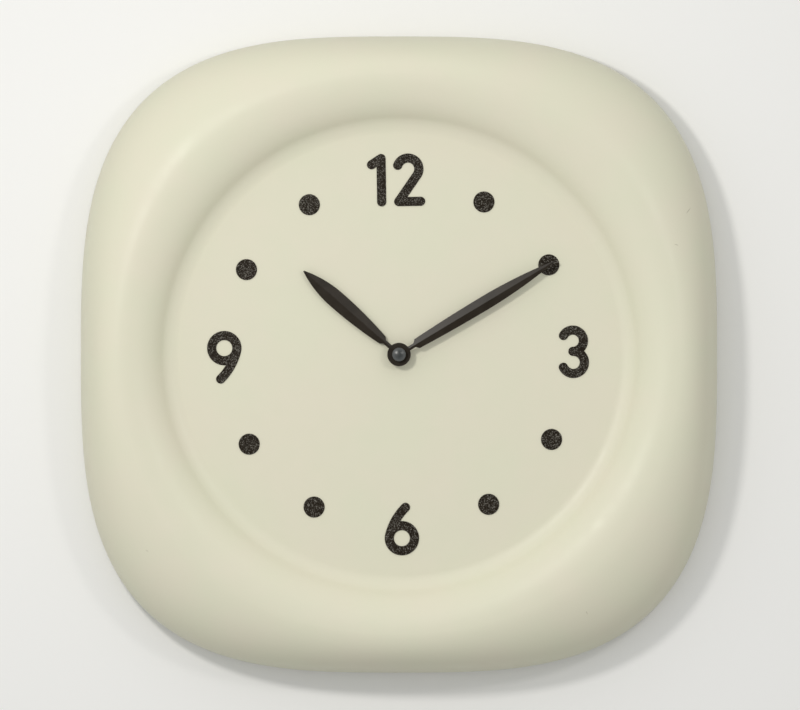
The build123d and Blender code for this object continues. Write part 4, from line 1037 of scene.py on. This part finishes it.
@dataclass
class Movement:
    """Quartz movement seen through the window: housing, lid, dished knob, contacts and pale marks."""

    paintbox: Paintbox
    edge: float = 0.3 * MM
    contact_edge: float = 0.075 * MM
    mark_height: float = 0.15 * MM
    mark_width: float = 1.0 * MM
    mark_span: float = 3.2 * MM
    mark_inset: float = 2.4 * MM
    arrow_gap: float = 1.6 * MM
    arrow_start: float = math.radians(40)
    arrow_sweep: float = math.radians(95)
    arrow_head: float = 1.4 * MM
    arrow_point: float = 2.24 * MM
    arrow_steps: int = 20
    knob_edge: float = 0.1 * MM
    knob_sharp: float = 25.0
    knob_facing: float = 0.99
    knob_rim: float = 1.4 * MM
    knob_slope: float = 0.4 * MM
    knob_sink: float = 0.5 * MM
    knob_steps: int = 48

    def __post_init__(self) -> None:
        """Reads where the lid and the knob are."""
        self.lid = Extent.of("movement_back")
        self.knob_box = Extent.of("setting_knob")
        self.knob_middle = self.knob_box.middle
        self.knob_radius = (self.knob_box.right - self.knob_box.left) / 2

    def bar(self, work: BMesh, place: Vector, width: float, height: float) -> None:
        """Adds a raised bar to the lid's rear face.

        Args:
            work: Geometry that the bar is added to.
            place: Middle of the bar on the lid.
            width: Size across.
            height: Size upward.
        """
        size = Matrix.Diagonal((width, height, 2 * self.mark_height, 1))
        bmesh.ops.create_cube(work, size=1, matrix=Matrix.Translation(place) @ size)

    def arrow(self, work: BMesh) -> None:
        """Adds a raised arrow that bends round the knob.

        Args:
            work: Geometry that the arrow is added to.
        """
        inner = self.knob_radius + self.arrow_gap
        outer = inner + self.mark_width
        direction = Vector((math.cos(self.arrow_start), math.sin(self.arrow_start), 0))
        centre = Vector((self.knob_middle.x, self.knob_middle.y, self.lid.rear - self.mark_height))
        line = chain(work, [centre + inner * direction, centre + outer * direction])
        bmesh.ops.spin(
            work, geom=line, cent=centre, axis=FACING, angle=self.arrow_sweep, steps=self.arrow_steps
        )
        end = self.arrow_start + self.arrow_sweep
        along = Vector((-math.sin(end), math.cos(end), 0))
        outward = Vector((math.cos(end), math.sin(end), 0))
        middle = centre + (inner + outer) / 2 * outward
        corners = [middle - self.arrow_head * outward, middle + self.arrow_head * outward,
                   middle + self.arrow_point * along]
        work.faces.new([work.verts.new(corner) for corner in corners])

    def marks(self) -> None:
        """Builds the raised signs by the battery and the arrow round the knob."""
        work = bmesh.new()
        height = self.lid.low + self.mark_inset
        plus = Vector((self.lid.right - self.mark_inset, height, self.lid.rear))
        minus = Vector((self.lid.left + self.mark_inset, height, self.lid.rear))
        self.bar(work, minus, self.mark_span, self.mark_width)
        self.bar(work, plus, self.mark_span, self.mark_width)
        self.bar(work, plus, self.mark_width, self.mark_span)
        signs = list(work.faces)
        self.arrow(work)
        flat = [face for face in work.faces if face not in set(signs)]
        bmesh.ops.recalc_face_normals(work, faces=flat)
        bmesh.ops.solidify(work, geom=flat, thickness=self.mark_height)
        bmesh.ops.recalc_face_normals(work, faces=work.faces)
        work.transform(STAND_UP)
        settle(work, "pale_marks", self.paintbox.gear, Body.CASE)

    def knob(self) -> None:
        """Builds the ribbed knob with a shallow round dish in its end."""
        work = softened("setting_knob", self.knob_edge, sharp=self.knob_sharp)
        ends = [face for face in work.faces if face.normal.y > self.knob_facing]
        end = max(ends, key=lambda face: face.calc_area())
        border = list(end.edges)
        bmesh.ops.delete(work, geom=[end], context="FACES_ONLY")
        radius = self.knob_radius - self.knob_rim
        level = self.knob_box.rear
        rings = []
        for reach, height in ((radius, level), (radius - self.knob_slope, level + self.knob_sink)):
            place = Matrix.Translation((self.knob_middle.x, self.knob_middle.y, height))
            ring = bmesh.ops.create_circle(
                work, segments=self.knob_steps, radius=reach, matrix=STAND_UP @ place
            )["verts"]
            rings.append(list({edge for vertex in ring for edge in vertex.link_edges}))
        bmesh.ops.triangle_fill(work, use_beauty=True, edges=border + rings[0])
        bmesh.ops.bridge_loops(work, edges=rings[0] + rings[1])
        bmesh.ops.contextual_create(work, geom=rings[1])
        bmesh.ops.recalc_face_normals(work, faces=work.faces)
        settle(work, "ribbed_knob", self.paintbox.gear, Body.KNOB, ("setting_knob",))

    def build(self) -> None:
        """Builds the housing, the lid, the knob, the contacts and the marks."""
        for node in ("movement_housing", "movement_back"):
            work = softened(node, self.edge)
            settle(work, f"moulded_{node}", self.paintbox.movement, Body.CASE, (node,))
        self.knob()
        for node in ("battery_contact_positive", "battery_contact_negative"):
            work = softened(node, self.contact_edge)
            settle(work, f"sprung_{node}", self.paintbox.steel, Body.CASE, (node,))
        self.marks()


@dataclass
class GoingTrain:
    """Wheels, motor and circuit inside the movement, kept as they are and given their finishes."""

    paintbox: Paintbox

    def build(self) -> None:
        """Gives every inner node its finish."""
        finishes = {
            self.paintbox.brass: ("hour_hand_collet", "minute_hand_collet"),
            self.paintbox.movement: ("train_plate",),
            self.paintbox.gear: (
                "hour_wheel", "cannon_pinion", "minute_wheel", "centre_wheel", "third_wheel",
                "second_wheel", "fifth_wheel", "rotor_pinion", "coil_bobbin",
            ),
            self.paintbox.magnet: ("rotor_magnet",),
            self.paintbox.iron: ("stator", "coil_core"),
            self.paintbox.copper: ("coil_winding",),
            self.paintbox.board: ("circuit_board",),
            self.paintbox.steel: ("quartz_crystal",),
            self.paintbox.resin: ("chip_cover",),
        }
        for material, nodes in finishes.items():
            for node in nodes:
                mesh = frame["nodes"][node].data
                mesh.materials.clear()
                mesh.materials.append(material)
                log.info("%s: %s", node, material.name)


@dataclass
class PowerCell:
    """Round battery: a sleeved can with a rolled edge, a flat foot and a button."""

    paintbox: Paintbox
    sleeve: float = 0.12 * MM
    roll: float = 1.0 * MM
    rim: float = 1.3 * MM
    button_radius: float = 2.6 * MM
    button_length: float = 1.1 * MM
    button_edge: float = 0.3 * MM
    steps: int = 72
    roll_steps: int = 6
    button_steps: int = 4

    def __post_init__(self) -> None:
        """Reads where the battery is."""
        self.box = Extent.of("battery_cell")

    def turned(
        self, points: list[Pair], name: str, material: Material, nodes: tuple[str, ...] = ()
    ) -> None:
        """Turns a section about the battery's axis.

        Args:
            points: Section as distances along and out from the axis, from the battery's middle.
            name: Name of the piece.
            material: Its finish.
            nodes: CAD nodes that it stands for.
        """
        middle = self.box.middle
        section = [middle + Vector((along, out, 0)) for along, out in points]
        work = bmesh.new()
        lathe(work, chain(work, section), self.steps, Vector((1, 0, 0)), middle)
        work.transform(STAND_UP)
        settle(work, name, material, Body.BATTERY, nodes)

    def build(self) -> None:
        """Builds the sleeve and the metal can with its button."""
        half = (self.box.right - self.box.left) / 2
        radius = (self.box.high - self.box.low) / 2
        foot = -half
        shoulder = half - self.button_length
        inner = radius - self.sleeve
        rim = radius - self.rim
        roll = (self.roll, self.roll)
        left = foot + self.roll
        right = shoulder - self.roll
        sleeve = arc((left, radius - self.roll), roll, math.pi, QUARTER_TURN, self.roll_steps)
        sleeve += arc((right, radius - self.roll), roll, QUARTER_TURN, 0, self.roll_steps)
        sleeve += [(shoulder, rim), (shoulder - self.sleeve, rim)]
        sleeve += arc((right, inner - self.roll), roll, 0, QUARTER_TURN, self.roll_steps)
        sleeve += arc((left, inner - self.roll), roll, QUARTER_TURN, math.pi, self.roll_steps)
        sleeve += [(foot + self.sleeve, rim), (foot, rim)]
        sleeve.append(sleeve[0])
        self.turned(sleeve, "cell_sleeve", self.paintbox.cell)
        # The can stays clear of the sleeve, and its corners are cut off by the same gap
        gap = 2 * self.sleeve
        side = inner - self.sleeve
        level = shoulder - gap
        can = [(foot + gap, 0), (foot + gap, rim), (foot + 2 * gap, side), (level - gap, side)]
        edge = (self.button_edge, self.button_edge)
        neck = (level + self.button_edge, self.button_radius + self.button_edge)
        top = (half - self.button_edge, self.button_radius - self.button_edge)
        can += [(level, rim), (level, neck[1])]
        can += arc(neck, edge, math.pi, 3 * QUARTER_TURN, self.button_steps)[1:]
        can += arc(top, edge, QUARTER_TURN, 0, self.button_steps)
        can.append((half, 0))
        self.turned(can, "cell_can", self.paintbox.steel, ("battery_cell",))


@dataclass(frozen=True)
class Lamp:
    """Soft round lamp that faces the dial from a direction, with its power in watts."""

    name: str
    direction: Triple
    power: float
    size: float


@dataclass
class Studio:
    """Pale wall with soft light from the upper left and right, and the camera straight in front."""

    shell: CaseShell
    wall_tint: Tint = Tint(243, 243, 242)
    wall_bounce: Tint = Tint(196, 196, 188)
    roughness: float = 0.9
    wall_specular: float = 0.1
    wall_gap: float = 0.8 * MM
    wall_radius: float = 8.0
    wall_steps: int = 96
    hole_inset: float = 2.5 * MM
    lamp_distance: float = 0.8
    lamps: tuple[Lamp, ...] = (
        Lamp("key_lamp", (-0.37, 0.29, 0.882), 1.88, 0.105),
        Lamp("fill_lamp", (0.438, 0.237, 0.867), 0.53, 0.105),
        Lamp("rear_lamp", (0.3, 0.35, -0.9), 2.3, 0.21),
    )
    warm_light: Triple = (1.0, 0.975, 0.93)
    ambient: float = 0.625
    ambient_lean: Triple = (-0.12, 0, 0.2)
    ambient_tint: tuple[float, float, float, float] = (0.995, 1.0, 0.985, 1.0)
    backdrop: float = 0.9
    card_tint: Tint = Tint(40, 38, 35)
    card_distance: float = 3.5
    card_radius: float = 2.6
    card_steps: int = 48
    picture_width: float = 800.0
    picture_height: float = 710.0
    case_pixels: float = 636.0
    case_pixel_x: float = 399.0
    case_pixel_y: float = 354.5
    sensor: float = 36.0
    camera_distance: float = 4.0
    camera_reach: float = 32.0

    def wall_material(self) -> Material:
        """Mixes a wall, pale where it is seen or mirrored and open from behind.

        Returns:
            The finished material.
        """
        sheet = NodeSheet("pale_wall")
        sheet.put("Base Color", sheet.blend(sheet.seen(), self.wall_bounce, self.wall_tint))
        sheet.put("Roughness", self.roughness)
        sheet.put("Specular IOR Level", self.wall_specular)
        behind = sheet.node("ShaderNodeNewGeometry").outputs["Backfacing"]
        clear = sheet.node("ShaderNodeBsdfTransparent").outputs[0]
        choice = sheet.node("ShaderNodeMixShader", behind, sheet.shader.outputs[0], clear)
        output = sheet.tree.nodes["Material Output"]
        sheet.feed(output.inputs["Surface"], choice.outputs[0])
        return sheet.material

    def wall(self) -> None:
        """Builds the wall, cut out behind the clock so that its back is lit in other views."""
        work = bmesh.new()
        level = Matrix.Translation((0, 0, -self.wall_gap))
        edge, hole = (
            bmesh.ops.create_circle(work, segments=self.wall_steps, radius=radius, matrix=level)["verts"]
            for radius in (self.wall_radius, self.shell.half_width)
        )
        for vertex in hole:
            angle = math.atan2(vertex.co.y, vertex.co.x)
            reach = self.shell.outline_radius(angle, self.shell.half_width - self.hole_inset)
            vertex.co.xy *= reach / vertex.co.xy.length
        loops = {item for vertex in edge + hole for item in vertex.link_edges}
        bmesh.ops.bridge_loops(work, edges=list(loops))
        for face in work.faces:
            face.normal_update()
            if face.normal.z < 0:
                face.normal_flip()
        work.transform(STAND_UP)
        wall = hang("wall", work)
        wall.data.materials.append(self.wall_material())

    def light(self, lamp: Lamp) -> None:
        """Hangs one lamp, out of the camera's sight.

        Args:
            lamp: Lamp that is hung.
        """
        data = bpy.data.lights.new(lamp.name, "AREA")
        data.shape = "DISK"
        data.size = lamp.size
        data.energy = lamp.power
        data.color = self.warm_light
        hung = hang(lamp.name, data)
        reach = Vector(lamp.direction).normalized() * self.lamp_distance
        hung.location = STAND_UP @ reach
        towards = STAND_UP.to_3x3() @ -reach
        hung.rotation_euler = towards.to_track_quat("-Z", "Y").to_euler()
        hung.visible_camera = False

    def card(self) -> None:
        """Hangs a dark card in front, unseen by the camera, which keeps the black paint black."""
        work = bmesh.new()
        bmesh.ops.create_circle(
            work,
            cap_ends=True,
            segments=self.card_steps,
            radius=self.card_radius,
            matrix=Matrix.Translation((0, 0, self.card_distance)),
        )
        work.transform(STAND_UP)
        sheet = NodeSheet("dark_card")
        sheet.put("Base Color", self.card_tint)
        sheet.put("Roughness", self.roughness)
        card = hang("dark_card", work)
        card.data.materials.append(sheet.material)
        card.visible_camera = False
        card.visible_diffuse = False

    def world(self) -> None:
        """Sets a soft surrounding, brighter to the upper left and pale where it is seen or mirrored."""
        world = bpy.data.worlds.new("studio")
        world.use_nodes = True
        bpy.context.scene.world = world
        bench = NodeBench(world.node_tree)
        background = bench.tree.nodes["Background"]
        towards = bench.node("ShaderNodeTexCoord").outputs["Generated"]
        lean = bench.reckon("ShaderNodeVectorMath", "DOT_PRODUCT", towards, self.ambient_lean)
        soft = bench.reckon("ShaderNodeMath", "ADD", lean, self.ambient)
        bench.feed(background.inputs["Color"], self.ambient_tint)
        level = bench.spread(bench.seen(), 0.0, 1.0, soft, self.backdrop)
        bench.feed(background.inputs["Strength"], level)

    def camera(self) -> None:
        """Sets the camera straight in front of the case, at the photograph's scale."""
        data = bpy.data.cameras.new("front_camera")
        data.sensor_width = self.sensor
        case_width = 2 * self.shell.half_width
        reach = self.camera_distance - self.shell.skirt_height
        data.lens = self.case_pixels / self.picture_width * self.sensor * reach / case_width
        data.shift_x = (self.picture_width / 2 - self.case_pixel_x) / self.picture_width
        data.shift_y = (self.case_pixel_y - self.picture_height / 2) / self.picture_width
        data.clip_end = self.camera_reach
        camera = hang("front_camera", data)
        camera.location = STAND_UP @ Vector((0, 0, self.camera_distance))
        camera.rotation_euler = (QUARTER_TURN, 0, 0)
        bpy.context.scene.camera = camera

    def build(self) -> None:
        """Builds the wall, the card, the lamps, the surrounding and the camera."""
        self.wall()
        self.card()
        for lamp in self.lamps:
            self.light(lamp)
        self.world()
        self.camera()


def main() -> None:
    """Builds the clock piece by piece, then the studio round it."""
    logging.basicConfig(level=logging.INFO, format="%(name)s: %(message)s")
    bpy.context.scene.view_settings.view_transform = "Standard"
    paintbox = Paintbox()
    shell = CaseShell(paintbox)
    shell.build()
    DialPrint(paintbox).build()
    HandSet(paintbox).build()
    RearCover(paintbox, shell).build()
    Movement(paintbox).build()
    GoingTrain(paintbox).build()
    PowerCell(paintbox).build()
    Studio(shell).build()


if __name__ == "__main__":
    main()
